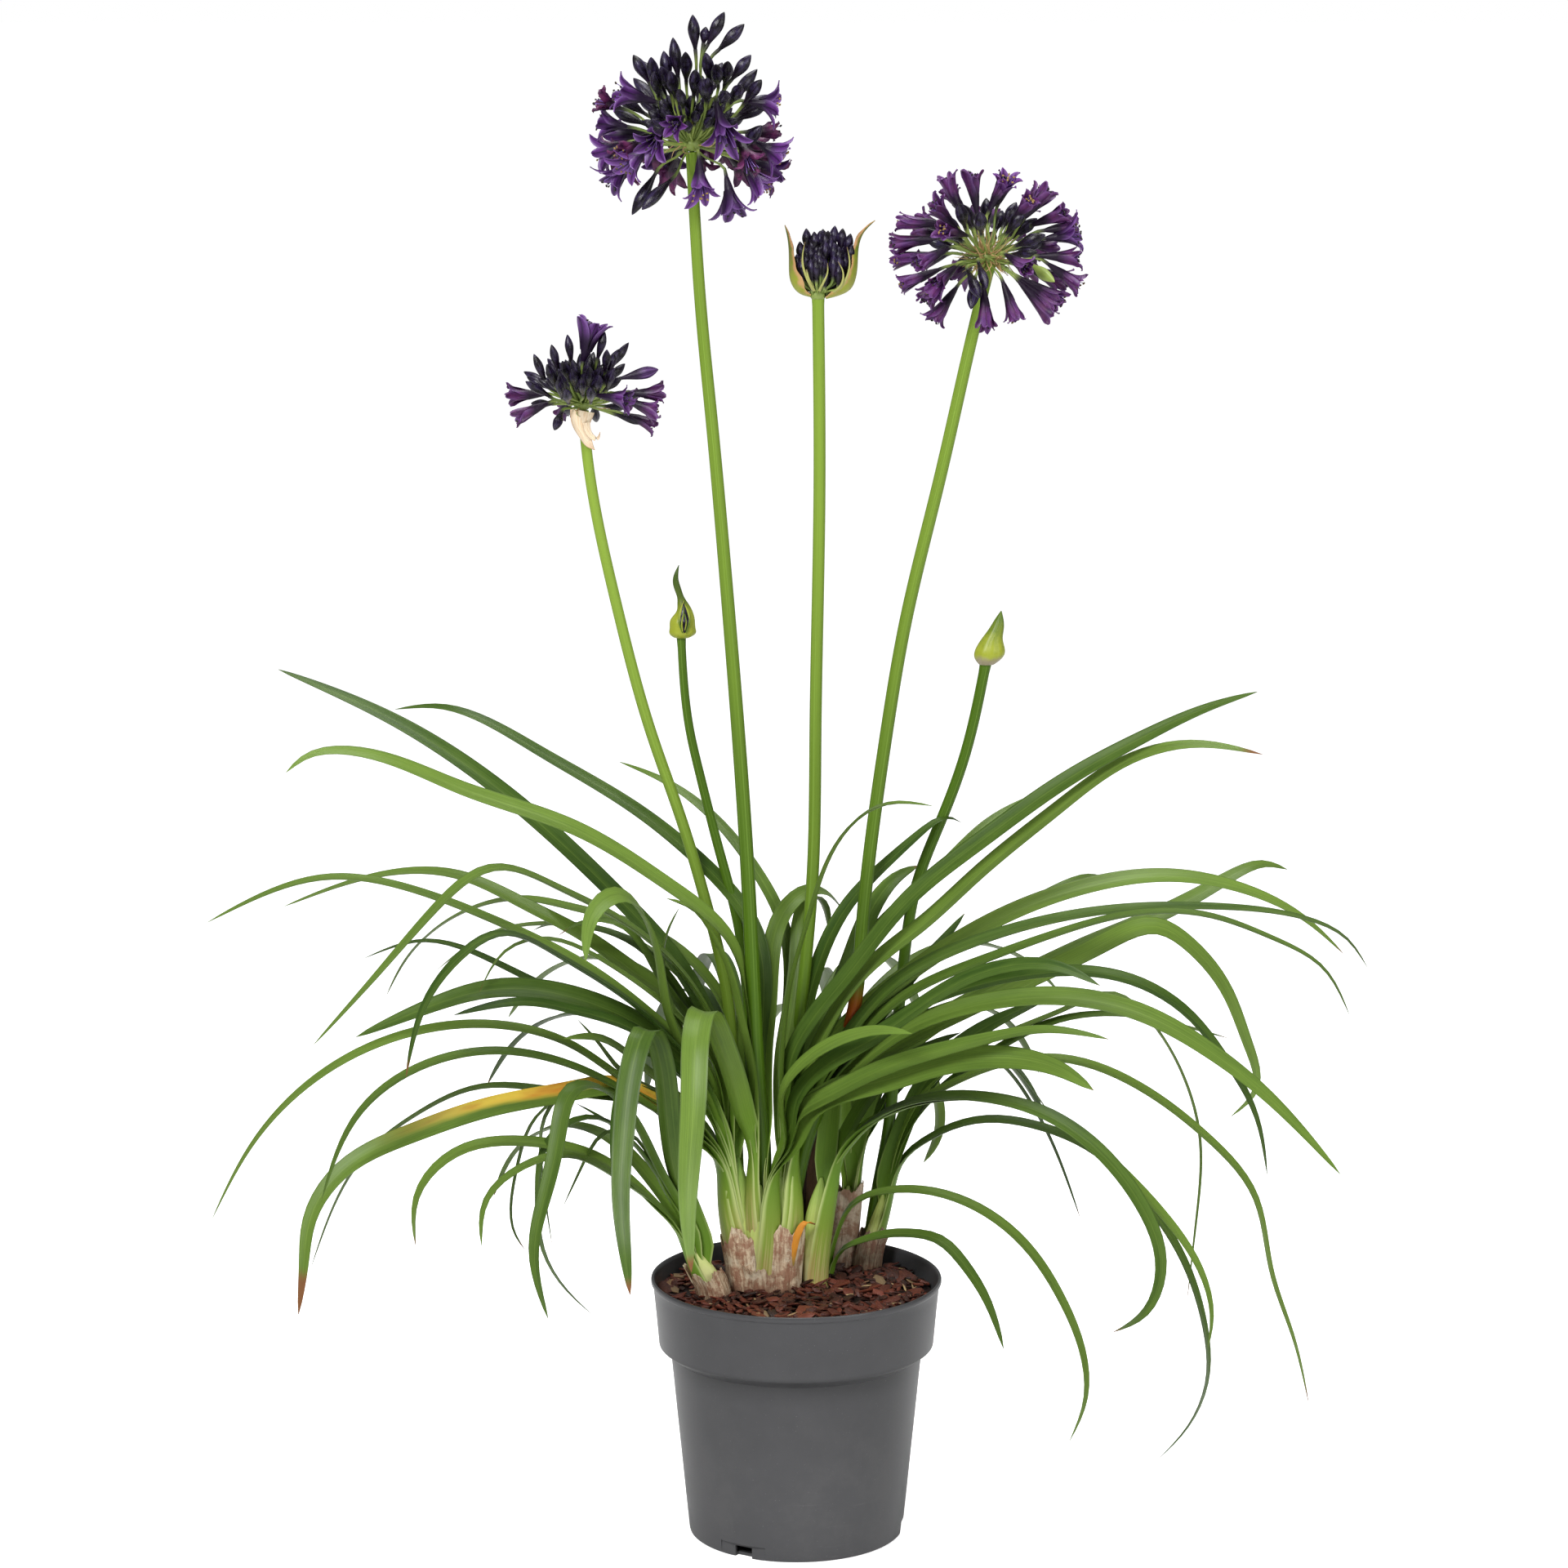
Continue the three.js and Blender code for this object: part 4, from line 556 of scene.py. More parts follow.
def leaf(skin, column, root_spread, row, outer, dice):
    """A strap leaf: row is [reach, width, [turn at root, turn at tip], path of [x, z]], and maybe its look.

    Its base clasps the column below: outer is 0 for the innermost leaf and 1 for the outermost.
    """
    reach_y, width, turn, path = row[:4]
    look = row[4] if len(row) > 4 else {}
    middle_y = column[-3][1]
    root_y = middle_y + root_spread * min(1, max(-1, reach_y / FULL_SPREAD))
    line, run, u, blade, surface = strap(path, root_y, middle_y + reach_y, width, turn, dice)
    # The heights of the base, low to high, and then those of the blade.
    low = np.arange(SOIL_LEVEL - CLASP_DEPTH, line[0, 2] - LEAF_STEP / 2, LEAF_STEP)
    below = len(low)
    body = np.concatenate([np.zeros(below, int), np.arange(len(line))])
    above = np.concatenate([low - line[0, 2], run])
    centre, wide, deep = column_at(column, np.concatenate([low, line[:, 2]]))
    wide, deep = wide * mix(*CLASP_REACH, outer), deep * mix(*CLASP_REACH, outer)
    # The base clasps the column on the flank that the leaf grows from, and the blade starts there.
    flank = math.pi if path[1][0] + path[2][0] < 2 * path[0][0] else 0.0
    heading = line[-1] - line[0]
    aside = np.angle(np.exp(1j * (math.atan2(heading[1], heading[0]) - flank)))
    facing = flank + FACING_SHARE * min(FACING_MOST, max(-FACING_MOST, aside))
    flare = np.array([wide[below, 0] * math.cos(facing), deep[below, 0] * math.sin(facing), 0])
    flare = (flare + centre[below] - line[0]) * [1, 1, 0]
    blade = blade[body] + (1 - eased(above / FLARE_RUN))[:, None, None] * flare
    leaving = mix(*CLASP_EASE, outer)
    lowest = low[0] - line[0, 2] if below else -1
    angle = facing - np.interp(above, [lowest, 0, leaving], CLASP)[:, None] * u
    base = oval(centre[:, None], EAST, NORTH, wide + surface[body], deep + surface[body], angle)
    rings = mix(base, blade, eased(above / leaving)[:, None, None])
    place = mark_of((run / run[-1])[body, None], u, above[:, None] * 0.001)
    shade = look.get("shade", dice.uniform(0, 1))
    kind = (dice.uniform(0, 1), shade, look.get("dry", max(0, dice.uniform(-1.6, 1))))
    skin.cover(rings, place=place, kind=kind)


# Rows: [reach, width, [turn at root, turn at tip], path of [x, z]], and for some how light or dry it is
LEFT_FAN_LEAVES = [
    # upper left
    [75, 17, [20, 30], [
      [-37, 321], [-61, 392], [-93, 453], [-135, 500], [-241, 596], [-318, 644], [-409, 682]
    ], {"shade": 0.1}],
    [-90, 16, [15, 40], [
      [-33, 323], [-38, 429], [-54, 485], [-98, 527], [-172, 576], [-258, 610], [-331, 640],
      [-372, 640], [-387, 630]
    ], {"shade": 0.9}],
    [110, 13, [20, 30], [
      [-31, 323], [-27, 411], [-32, 478], [-74, 532], [-126, 572], [-203, 616], [-280, 649], [-320, 644]
    ]],
    # middle left
    [-80, 14, [10, 15], [
      [-39, 317], [-67, 369], [-112, 418], [-162, 460], [-237, 502], [-299, 529], [-360, 541],
      [-452, 509]
    ]],
    [90, 16, [15, 15], [
      [-39, 317], [-61, 384], [-87, 418], [-119, 438], [-164, 468], [-216, 494], [-268, 515],
      [-321, 515], [-411, 485]
    ]],
    [-145, 14, [10, 5], [
      [-40, 317], [-67, 417], [-98, 467], [-142, 506], [-184, 532], [-233, 551], [-275, 524],
      [-318, 478], [-366, 428]
    ]],
    [140, 11, [10, 5], [
      [-38, 320], [-61, 428], [-113, 475], [-178, 492], [-218, 495], [-271, 478], [-312, 441],
      [-334, 400]
    ]],
    [60, 10, [10, 10], [
      [-40, 317], [-80, 372], [-138, 409], [-196, 432], [-241, 452], [-293, 466], [-345, 449]
    ]],
    [-170, 13, [10, 5], [
      [-40, 313], [-67, 363], [-99, 407], [-136, 445], [-185, 482], [-227, 503], [-257, 489],
      [-281, 459], [-294, 410]
    ]],
    [120, 10, [5, 5], [[-39, 317], [-74, 422], [-132, 468], [-191, 476], [-245, 463], [-291, 426]]],
    [-30, 8, [10, 10], [[-39, 317], [-80, 402], [-150, 462], [-200, 482], [-225, 475], [-247, 443]]],
    # broad ones low on the left
    [-40, 19, [30, 40], [
      [-43, 313], [-80, 375], [-125, 412], [-175, 435], [-238, 443], [-289, 430], [-343, 409]
    ]],
    [-105, 14, [20, 30], [[-44, 310], [-87, 369], [-124, 411], [-174, 434], [-210, 446], [-262, 442]]],
    [-70, 11, [10, 15], [
      [-48, 306], [-93, 339], [-140, 370], [-176, 397], [-245, 416], [-302, 411], [-365, 384],
      [-423, 328], [-455, 270]
    ]],
    [-120, 12, [5, 15], [
      [-48, 303], [-100, 337], [-150, 370], [-187, 390], [-237, 402], [-299, 390], [-336, 363],
      [-364, 301]
    ]],
    [42, 9, [10, 10], [
      [-45, 306], [-94, 339], [-146, 347], [-191, 351], [-250, 353], [-302, 329], [-343, 295],
      [-390, 198]
    ]],
    # thin ones that hang at their ends
    [62, 8, [0, 0], [
      [-45, 306], [-113, 348], [-165, 351], [-203, 332], [-222, 287], [-227, 228], [-219, 208]
    ]],
    [-35, 7, [0, 0], [[-46, 306], [-113, 358], [-168, 366], [-196, 342], [-200, 300], [-192, 239]]],
    [-128, 8, [0, 0], [[-47, 308], [-100, 380], [-128, 396], [-137, 373], [-140, 360], [-142, 332]]],
    # short and young
    [-150, 20, [0, 45], [
      [-45, 310], [-80, 376], [-102, 427], [-108, 472], [-118, 513], [-136, 534], [-154, 526],
      [-159, 494]
    ], {"shade": 0.85}],
    [-30, 11, [30, 40], [[-48, 316], [-80, 382], [-100, 430], [-105, 464], [-101, 488], [-91, 510]]],
    [15, 10, [20, 20], [[-38, 320], [-75, 400], [-110, 450], [-137, 487], [-169, 489], [-187, 478]]],
    [95, 9, [10, 10], [[-38, 320], [-80, 410], [-125, 465], [-166, 477], [-198, 474], [-212, 464]]],
    [-60, 18, [10, 20], [
      [-32, 320], [-37, 381], [-45, 422], [-54, 464], [-66, 493], [-79, 514], [-100, 526]
    ]],
    [-75, 14, [20, 20], [[-48, 303], [-93, 353], [-127, 386], [-149, 406], [-164, 413], [-180, 416]]],
    [-10, 9, [10, 10], [[-47, 305], [-100, 350], [-139, 373], [-155, 395], [-172, 416]]],
    # the broad leaf that arches over the front
    [-205, 20, [0, 0], [
      [-34, 314], [-45, 360], [-59, 407], [-71, 437], [-76, 430], [-78, 392], [-80, 354], [-82, 313],
      [-79, 271]
    ], {"shade": 0.8}],
    # back
    [330, 16, [0, 0], [[-40, 315], [-55, 375], [-75, 405], [-95, 395], [-115, 345], [-128, 270]]],
    [300, 15, [0, 0], [[-38, 318], [-45, 385], [-55, 425], [-68, 430], [-80, 395], [-90, 330]]],
    [230, 15, [0, 0], [[-42, 315], [-75, 385], [-115, 425], [-160, 435], [-205, 410], [-240, 360]]],
    [180, 14, [0, 0], [[-44, 312], [-85, 365], [-130, 392], [-180, 395], [-225, 365], [-255, 315]]],
    [120, 14, [0, 40], [[-34, 320], [-22, 430], [-12, 490], [8, 505], [26, 497], [37, 479]]],
]
YELLOW_LEAF = [-98, 17, [25, 50], [
    [-54, 297], [-100, 337], [-136, 362], [-176, 361], [-239, 351], [-302, 332], [-352, 308],
    [-378, 271], [-382, 240], [-386, 202]
], {"shade": 0.7, "dry": 2.0}]
RIGHT_FAN_LEAVES = [
    # upper right
    [-60, 16, [30, 50], [
      [-15, 312], [0, 392], [42, 453], [86, 511], [143, 561], [207, 610], [270, 648], [315, 671],
      [352, 685]
    ], {"shade": 0.2}],
    [-58, 17, [20, 30], [
      [-13, 312], [16, 388], [54, 453], [99, 493], [142, 535], [205, 590], [254, 627], [304, 642],
      [357, 636]
    ], {"shade": 0.8}],
    [138, 13, [20, 30], [[-15, 312], [16, 393], [68, 478], [114, 516], [153, 549], [195, 568]]],
    [150, 10, [10, 20], [
      [-19, 324], [-7, 416], [-10, 478], [-32, 519], [-61, 552], [-101, 579], [-143, 592]
    ]],
    [-75, 13, [20, 10], [
      [-17, 314], [-11, 388], [-3, 453], [9, 498], [23, 545], [44, 581], [69, 598], [104, 599]
    ]],
    [58, 14, [25, 15], [
      [-17, 312], [0, 384], [16, 448], [42, 502], [74, 535], [99, 556], [118, 566], [131, 560]
    ]],
    [88, 17, [30, 40], [[-16, 312], [16, 393], [42, 448], [58, 488], [78, 512], [98, 519]]],
    [105, 11, [15, 20], [
      [-15, 310], [42, 398], [94, 447], [145, 473], [197, 500], [230, 511], [246, 507]
    ]],
    # middle right
    [64, 18, [20, 25], [
      [-11, 312], [22, 384], [64, 426], [112, 461], [170, 493], [234, 514], [292, 520], [357, 507],
      [403, 483], [437, 452]
    ]],
    [-22, 16, [20, 5], [
      [-11, 310], [29, 381], [73, 438], [143, 477], [207, 496], [270, 505], [333, 506], [397, 498],
      [429, 483], [446, 460]
    ]],
    [-78, 13, [20, 5], [
      [-9, 308], [35, 383], [86, 435], [143, 464], [205, 489], [268, 507], [318, 507], [368, 491],
      [406, 470], [426, 435]
    ]],
    [122, 15, [10, 75], [
      [-9, 306], [55, 374], [119, 408], [184, 438], [243, 465], [283, 477], [312, 460], [344, 420],
      [364, 372], [373, 330], [355, 303]
    ]],
    [-66, 15, [15, 20], [
      [-10, 306], [42, 382], [93, 424], [143, 445], [206, 457], [257, 453], [301, 430], [333, 393],
      [357, 350], [366, 305]
    ]],
    [-115, 18, [20, 30], [
      [-8, 304], [48, 377], [92, 412], [142, 432], [205, 441], [267, 431], [317, 406], [360, 375],
      [391, 346], [417, 319]
    ]],
    # low right, in front
    [-135, 17, [40, 20], [
      [-29, 292], [-11, 316], [0, 344], [22, 363], [60, 387], [104, 407], [147, 423], [190, 435],
      [236, 433]
    ]],
    [-150, 21, [62, 50], [
      [-29, 292], [-9, 314], [16, 356], [67, 380], [117, 400], [168, 409], [199, 407], [224, 397]
    ]],
    [-105, 15, [50, 35], [
      [-29, 292], [-16, 316], [-11, 360], [3, 387], [22, 406], [44, 420], [66, 428], [88, 430]
    ]],
    [-145, 17, [50, 35], [
      [-29, 292], [-13, 316], [0, 356], [22, 387], [54, 410], [88, 437], [123, 465], [161, 483],
      [197, 487], [228, 477]
    ]],
    [55, 14, [30, 30], [[-11, 310], [55, 402], [93, 445], [116, 468], [134, 487]]],
    [95, 15, [10, 10], [[-19, 312], [-4, 412], [2, 455], [4, 485], [12, 500], [22, 490], [26, 465]]],
    # back
    [320, 16, [0, 0], [[-19, 312], [0, 385], [10, 420], [20, 415], [30, 370], [38, 300]]],
    [290, 15, [0, 0], [[-15, 312], [15, 390], [40, 430], [65, 430], [90, 395], [110, 335]]],
    [240, 15, [0, 0], [[-13, 310], [35, 385], [80, 430], [130, 445], [180, 425], [220, 380]]],
]
LEFT_SHOOT_LEAVES = [
    [-60, 14, [10, 20], [
      [-84, 231], [-112, 272], [-150, 309], [-212, 328], [-263, 323], [-294, 291], [-295, 255]
    ]],
    [-105, 11, [10, 10], [
      [-81, 234], [-118, 281], [-143, 302], [-174, 322], [-204, 322], [-238, 298], [-241, 268]
    ]],
    [-135, 15, [10, 0], [
      [-80, 238], [-109, 303], [-130, 350], [-154, 376], [-172, 378], [-182, 350], [-191, 309],
      [-200, 268], [-189, 219]
    ]],
    [-60, 8, [0, 0], [
      [-82, 236], [-118, 310], [-160, 345], [-192, 330], [-201, 290], [-197, 246], [-181, 219],
      [-158, 199]
    ]],
    [-25, 7, [0, 0], [[-82, 236], [-108, 292], [-130, 330], [-146, 334], [-166, 310], [-182, 277]]],
    [5, 7, [10, 10], [[-82, 236], [-112, 300], [-141, 332], [-173, 352]]],
    [-185, 18, [0, 0], [
      [-80, 234], [-94, 297], [-101, 361], [-107, 409], [-115, 428], [-125, 405], [-131, 360],
      [-133, 315], [-129, 276], [-125, 253]
    ], {"shade": 0.25}],
    [120, 13, [0, 0], [[-84, 232], [-115, 285], [-150, 315], [-190, 318], [-225, 290], [-245, 245]]],
]
MIDDLE_SHOOT_LEAVES = [
    [-102, 11, [10, 10], [
      [25, 286], [48, 325], [86, 346], [143, 376], [206, 389], [269, 368], [320, 331], [356, 288],
      [369, 231], [386, 181], [398, 131]
    ]],
    [-155, 12, [10, 10], [
      [26, 283], [48, 322], [80, 346], [117, 358], [161, 360], [205, 346], [248, 315], [285, 279],
      [310, 244], [318, 214], [314, 193]
    ]],
    [-205, 14, [10, 10], [
      [25, 285], [54, 330], [98, 356], [142, 363], [191, 356], [234, 331], [264, 296], [277, 260],
      [266, 231], [238, 221]
    ]],
    [20, 15, [20, 20], [[25, 287], [43, 326], [67, 359], [96, 383], [130, 398]]],
    [26, 16, [10, 10], [[22, 290], [25, 318], [28, 344], [31, 368]]],
]
BACK_SHOOT_LEAVES = [
    [118, 18, [20, 40], [
      [45, 283], [66, 347], [115, 391], [181, 424], [239, 449], [293, 469], [346, 494], [379, 505],
      [403, 497]
    ]],
    [92, 8, [0, 0], [[45, 283], [82, 338], [122, 363], [152, 361], [187, 323], [211, 275], [235, 208]]],
    [50, 7, [0, 0], [[45, 284], [80, 345], [120, 373], [155, 368], [185, 340], [206, 309]]],
    [110, 12, [0, 0], [
      [44, 283], [56, 335], [79, 367], [99, 364], [111, 335], [117, 307], [116, 277], [106, 251]
    ]],
    [240, 15, [0, 0], [[45, 283], [52, 340], [62, 375], [72, 375], [82, 340], [90, 280]]],
    [200, 14, [0, 0], [[46, 284], [70, 345], [105, 380], [145, 385], [180, 355], [205, 305]]],
    [170, 14, [0, 0], [[43, 283], [35, 345], [20, 380], [0, 390], [-20, 370], [-35, 325]]],
]
RIGHT_SHOOT_LEAVES = [
    [-64, 11, [10, 10], [
      [69, 254], [82, 282], [108, 305], [146, 320], [191, 317], [237, 298], [277, 260], [307, 215],
      [325, 163], [328, 117], [313, 80], [288, 54]
    ]],
    [38, 7, [0, 0], [
      [75, 268], [101, 337], [166, 386], [219, 408], [255, 418], [282, 398], [312, 348], [326, 297],
      [325, 228], [319, 156]
    ]],
    [9, 10, [10, 10], [
      [75, 268], [95, 318], [127, 351], [166, 378], [212, 399], [257, 403], [303, 395], [346, 383]
    ]],
    [20, 15, [50, 40], [[72, 262], [85, 306], [101, 342], [126, 372], [160, 395], [200, 412]]],
    [190, 14, [0, 0], [[74, 266], [95, 320], [125, 350], [155, 350], [185, 320], [210, 270]]],
]
SEEDLING_LEAVES = [
    [-118, 10, [10, 10], [
      [25, 218], [42, 256], [74, 271], [113, 272], [151, 259], [183, 234], [208, 198], [224, 160],
      [226, 127], [213, 97]
    ]],
    [-98, 11, [10, 20], [
      [26, 205], [39, 220], [62, 234], [90, 240], [113, 239], [131, 225], [148, 202], [162, 166]
    ]],
]
# Columns: [x, y, z, half width, half depth]. The front fold is of bases between the two fans.
LEFT_FAN = [
    [-37, 10, 165, 15, 13],
    [-37, 10, 205, 15, 13],
    [-41, 10, 240, 16, 12],
    [-45, 10, 272, 15, 10],
    [-46, 12, 300, 14, 13],
    [-46, 14, 330, 15, 15],
    [-46, 14, 352, 11, 11],
    [-46, 14, 366, 4, 4],
]
RIGHT_FAN = [
    [-14, 10, 165, 15, 14],
    [-14, 10, 205, 15, 14],
    [-13, 10, 240, 16, 13],
    [-13, 11, 275, 15, 11],
    [-14, 13, 300, 12, 11],
    [-15, 14, 325, 8, 9],
    [-15, 14, 345, 4, 5],
    [-15, 14, 360, 3, 3],
]
FRONT_FOLD = [
    [-27, 4, 165, 12, 9],
    [-27, 4, 205, 13, 10],
    [-28, 3, 240, 15, 10],
    [-29, 3, 270, 14, 9],
    [-29, 3, 296, 11, 9],
    [-28, 3, 318, 7, 7],
    [-27, 3, 334, 3, 3],
]
LEFT_SHOOT = [
    [-66, -15, 165, 10, 9],
    [-66, -15, 203, 10, 9],
    [-74, -16, 222, 10, 8],
    [-84, -15, 243, 8, 7],
    [-93, -15, 262, 5, 4],
]
MIDDLE_SHOOT = [
    [14, 16, 165, 10, 9],
    [14, 16, 205, 10, 9],
    [16, 15, 250, 12, 9],
    [20, 14, 285, 12, 8],
    [23, 14, 316, 8, 6],
    [25, 14, 338, 3, 3],
]
BACK_SHOOT = [
    [37, 75, 165, 9, 9],
    [38, 75, 205, 9, 9],
    [43, 76, 270, 8, 8],
    [46, 77, 300, 6, 5],
]
RIGHT_SHOOT = [
    [58, 66, 165, 8, 8],
    [58, 66, 203, 8, 8],
    [68, 68, 245, 7, 7],
    [74, 70, 272, 7, 6],
    [80, 71, 298, 5, 4],
]
SEEDLING = [
    [24, 41, 170, 4, 4],
    [24, 41, 203, 4, 4],
    [26, 40, 222, 3, 3],
]


def foliage():
    """Fresh strap leaves: parallel veins, a pale yellow-green root, a light midrib, some dry tips."""
    material, wire = new_material("foliage")
    share, across, run = wire.mark("place")
    number, shade, dry = wire.mark("kind")
    veins = wire.noise(wire.vector(across * 9, run * 5, number * 90), 1, 3, 0.6)
    fine = wire.noise(wire.vector(across * 30, run * 9, number * 90), 1, 2)
    cloud = wire.noise(wire.vector(run * 16, number * 70, across * 0.7), 1, 3, 0.6)
    green = (shade * 0.75 + cloud * 0.6 - 0.17).blend(paint(30, 57, 13), paint(112, 139, 56))
    green = (veins.fade(0.4, 0.75) * 0.12).blend(green, paint(126, 157, 70))
    green = (fine.fade(0.62, 0.4) * 0.25).blend(green, paint(28, 50, 16))
    green = (across.size().fade(0.1, 0.0) * 0.1).blend(green, paint(150, 172, 84))
    green = (across.size().fade(0.86, 0.99) * 0.4).blend(green, paint(40, 56, 24))
    root = run.fade(0.12, 0.02)
    green = (root * 0.6).blend(green, paint(108, 148, 40))
    green = (run.fade(0.04, -0.03) * 0.85).blend(green, paint(136, 156, 62))
    green = (run.fade(-0.02, -0.08) * 0.8).blend(green, paint(176, 172, 104))
    margin = across.size().fade(0.8, 0.98) * run.fade(0.09, 0.0)
    green = (margin * 0.6).blend(green, paint(206, 216, 146))
    stain = (cloud * 0.6 + fine * 0.4).fade(0.46, 0.6) * run.fade(0.01, -0.05)
    green = (stain * 0.85).blend(green, paint(170, 142, 92))
    streak = veins.fade(0.46, 0.62) * run.fade(0.0, -0.04)
    green = (streak * 0.5).blend(green, paint(206, 194, 134))
    yellowing = dry.fade(1.4, 1.8) * (across * 0.5 + 0.5 + cloud * 0.5 - 0.25).fade(0.35, 0.75)
    yellowing = yellowing * share.fade(0.06, 0.16) * share.fade(0.72, 0.45)
    green = yellowing.blend(green, (cloud.fade(0.42, 0.7)).blend(paint(212, 182, 66), paint(190, 130, 44)))
    dead = (share + veins * 0.02 + dry * 0.035).fade(1.004, 1.03)
    green = dead.blend(green, paint(112, 74, 44))
    roughness = 0.26 + veins * 0.16 + dead * 0.3 + root * 0.06
    wire.finish(green, roughness, veins * 0.6 + fine * 0.4, 0.00014, Specular_IOR_Level=0.16)
    return material


COLUMN_STEP, COLUMN_SIDES = 3.0, 48
CORE_TOP, CORE_WIDTH = 0.62, 0.9  # shares of its column's height and width


def core(skin, rows, number):
    """The oval core of a shoot, which shows low down between the leaf bases."""
    top = mix(rows[1][2], rows[-1][2], CORE_TOP)
    heights = np.arange(rows[0][2], top, COLUMN_STEP)
    centre, wide, deep = column_at(rows, heights)
    rise = np.clip((heights - rows[1][2]) / (top - rows[1][2]), 0, 1)[:, None]
    slim = CORE_WIDTH * (1 - rise**3) + 0.02
    angle = angles(COLUMN_SIDES)
    rib = 1 + 0.012 * np.sin(11 * angle + number) + 0.008 * np.sin(17 * angle)
    rings = oval(centre[:, None], EAST, NORTH, wide * slim * rib, deep * slim * rib, angle)
    skin.cover(rings, place=mark_of(angle, heights[:, None] * 0.001, 0.0), kind=(number, 0, 0), layer=1)


def leaf_bases():
    """Fleshy leaf bases: cream at the foot, yellow-green above, with fine upright veins and tan stains."""
    material, wire = new_material("leaf_bases")
    angle, height, _ = wire.mark("place")
    number, _, _ = wire.mark("kind")
    veins = wire.noise(wire.vector(angle * 8, height * 9, number * 20), 1, 3, 0.6)
    cloud = wire.noise(wire.spot(), 55, 3, 0.6)
    level = height + cloud * 0.03 - 0.015
    green = level.fade(0.235, 0.31).blend(paint(186, 200, 104), paint(118, 160, 56))
    green = level.fade(0.245, 0.205).blend(green, paint(208, 206, 148))
    green = (veins.fade(0.45, 0.75) * 0.45).blend(green, paint(206, 218, 142))
    stain = wire.noise(wire.vector(angle * 3, height * 30, number * 9), 1, 4, 0.7).fade(0.56, 0.74)
    green = (stain * height.fade(0.27, 0.215) * 0.6).blend(green, paint(150, 116, 76))
    wire.finish(green, 0.42 + veins * 0.12, veins, 0.0003, Specular_IOR_Level=0.45)
    return material


FOLIAGE, LEAF_BASES = foliage(), leaf_bases()


def steepness(row):
    (x0, z0), (x1, z1) = row[3][:2]
    return (z1 - z0) / (abs(x1 - x0) + 1)


def shoot(node, columns, root_spread, rows, seed):
    """One shoot: each leaf grows from the nearest of its columns, and the flattest leaf lies outermost."""
    dice = np.random.default_rng(seed)
    skin = Skin()
    for column in columns:
        core(skin, column, dice.uniform(0, 6))
    middles = np.array([column[-3][0] for column in columns])
    grown = [[] for _ in columns]
    for row in sorted(rows, key=steepness, reverse=True):
        grown[int(np.argmin(np.abs(middles - row[3][0][0])))].append(row)
    for column, leaves in zip(columns, grown):
        for i, row in enumerate(leaves):
            leaf(skin, column, root_spread, row, (i + 1) / len(leaves), dice)
    skin.piece("leaves_of_" + node, node, "foliage", FOLIAGE, LEAF_BASES, sharp=60)


CENTRE_LEAVES = [*LEFT_FAN_LEAVES, YELLOW_LEAF, *RIGHT_FAN_LEAVES]
shoot("shoot_centre", [LEFT_FAN, FRONT_FOLD, RIGHT_FAN], 11, CENTRE_LEAVES, 31)
shoot("shoot_left", [LEFT_SHOOT], 6, LEFT_SHOOT_LEAVES, 32)
shoot("shoot_middle", [MIDDLE_SHOOT], 6, MIDDLE_SHOOT_LEAVES, 33)
shoot("shoot_back", [BACK_SHOOT], 6, BACK_SHOOT_LEAVES, 34)
shoot("shoot_right", [RIGHT_SHOOT], 6, RIGHT_SHOOT_LEAVES, 35)
shoot("seedling", [SEEDLING], 3, SEEDLING_LEAVES, 36)

# ---- Papery sheaths -----------------------------------------------------------------------------
# The dead outer bases of last year's leaves, dried to thin brown paper round the foot of each
# column. They are fibrous and wrinkled, split from the top and stained where they meet the bark.
SHEATH_FOOT = 186
SHEATH_LIFT, SHEATH_THICKNESS = 2.6, 0.8
SHEATH_SIDES, SHEATH_ROWS = 72, 18
SHEATH_FLARE = 1.8
CRUMPLES = (3, 5, 8, 13, 21)  # folds round the sheath, the coarse ones first
TEAR_WAVES = [(2, 0.4), (5, 0.3)]  # waves round a torn edge and their height
TEARS = 5
BLADE_SIDES = 13


def cupped(skin, rows, edge, opening, thickness, stations, kind=(0, 0, 0), wave=0.0, layer=0):
    """A thin cupped blade from rows of [x, y, z, half width, cup]."""
    rows = np.asarray(rows, float)
    knots = np.concatenate([[0], np.cumsum(np.linalg.norm(np.diff(rows[:, :3], axis=0), axis=1))])
    at = np.linspace(0, knots[-1], stations)
    found = spline(knots, rows, at)
    line, half, cup = found[:, :3], np.maximum(found[:, 3:4], 0.2), found[:, 4:5]
    along = unit(np.gradient(line, axis=0))
    side = square_to(along, edge)
    face = np.cross(side, along)
    if face.sum(0) @ opening < 0:
        side, face = -side, -face
    u, to_face = both_faces(BLADE_SIDES)
    to_face = np.sign(to_face) * np.abs(to_face) ** 0.5
    at = at[:, None]
    out = cup * u**2 + thickness / 2 * to_face + wave * np.sin(at * 0.5 + 4 * u) * np.abs(u) ** 2
    rings = line[:, None] + side[:, None] * (half * u)[..., None] + face[:, None] * out[..., None]
    skin.cover(rings, place=mark_of(at / at[-1], u, to_face), kind=kind, layer=layer)


def ragged(angle, dice, height):
    """A torn edge: slow waves, with a few narrow splits."""
    edge = sum(share * height * np.sin(angle * waves + dice.uniform(0, 6)) for waves, share in TEAR_WAVES)
    for _ in range(TEARS):
        apart = np.angle(np.exp(1j * (angle - dice.uniform(0, 2 * np.pi))))
        edge -= height * dice.uniform(0.3, 1.1) * np.exp(-((apart / dice.uniform(0.05, 0.14)) ** 2))
    return edge + dice.uniform(-0.14, 0.14, len(angle)) * height


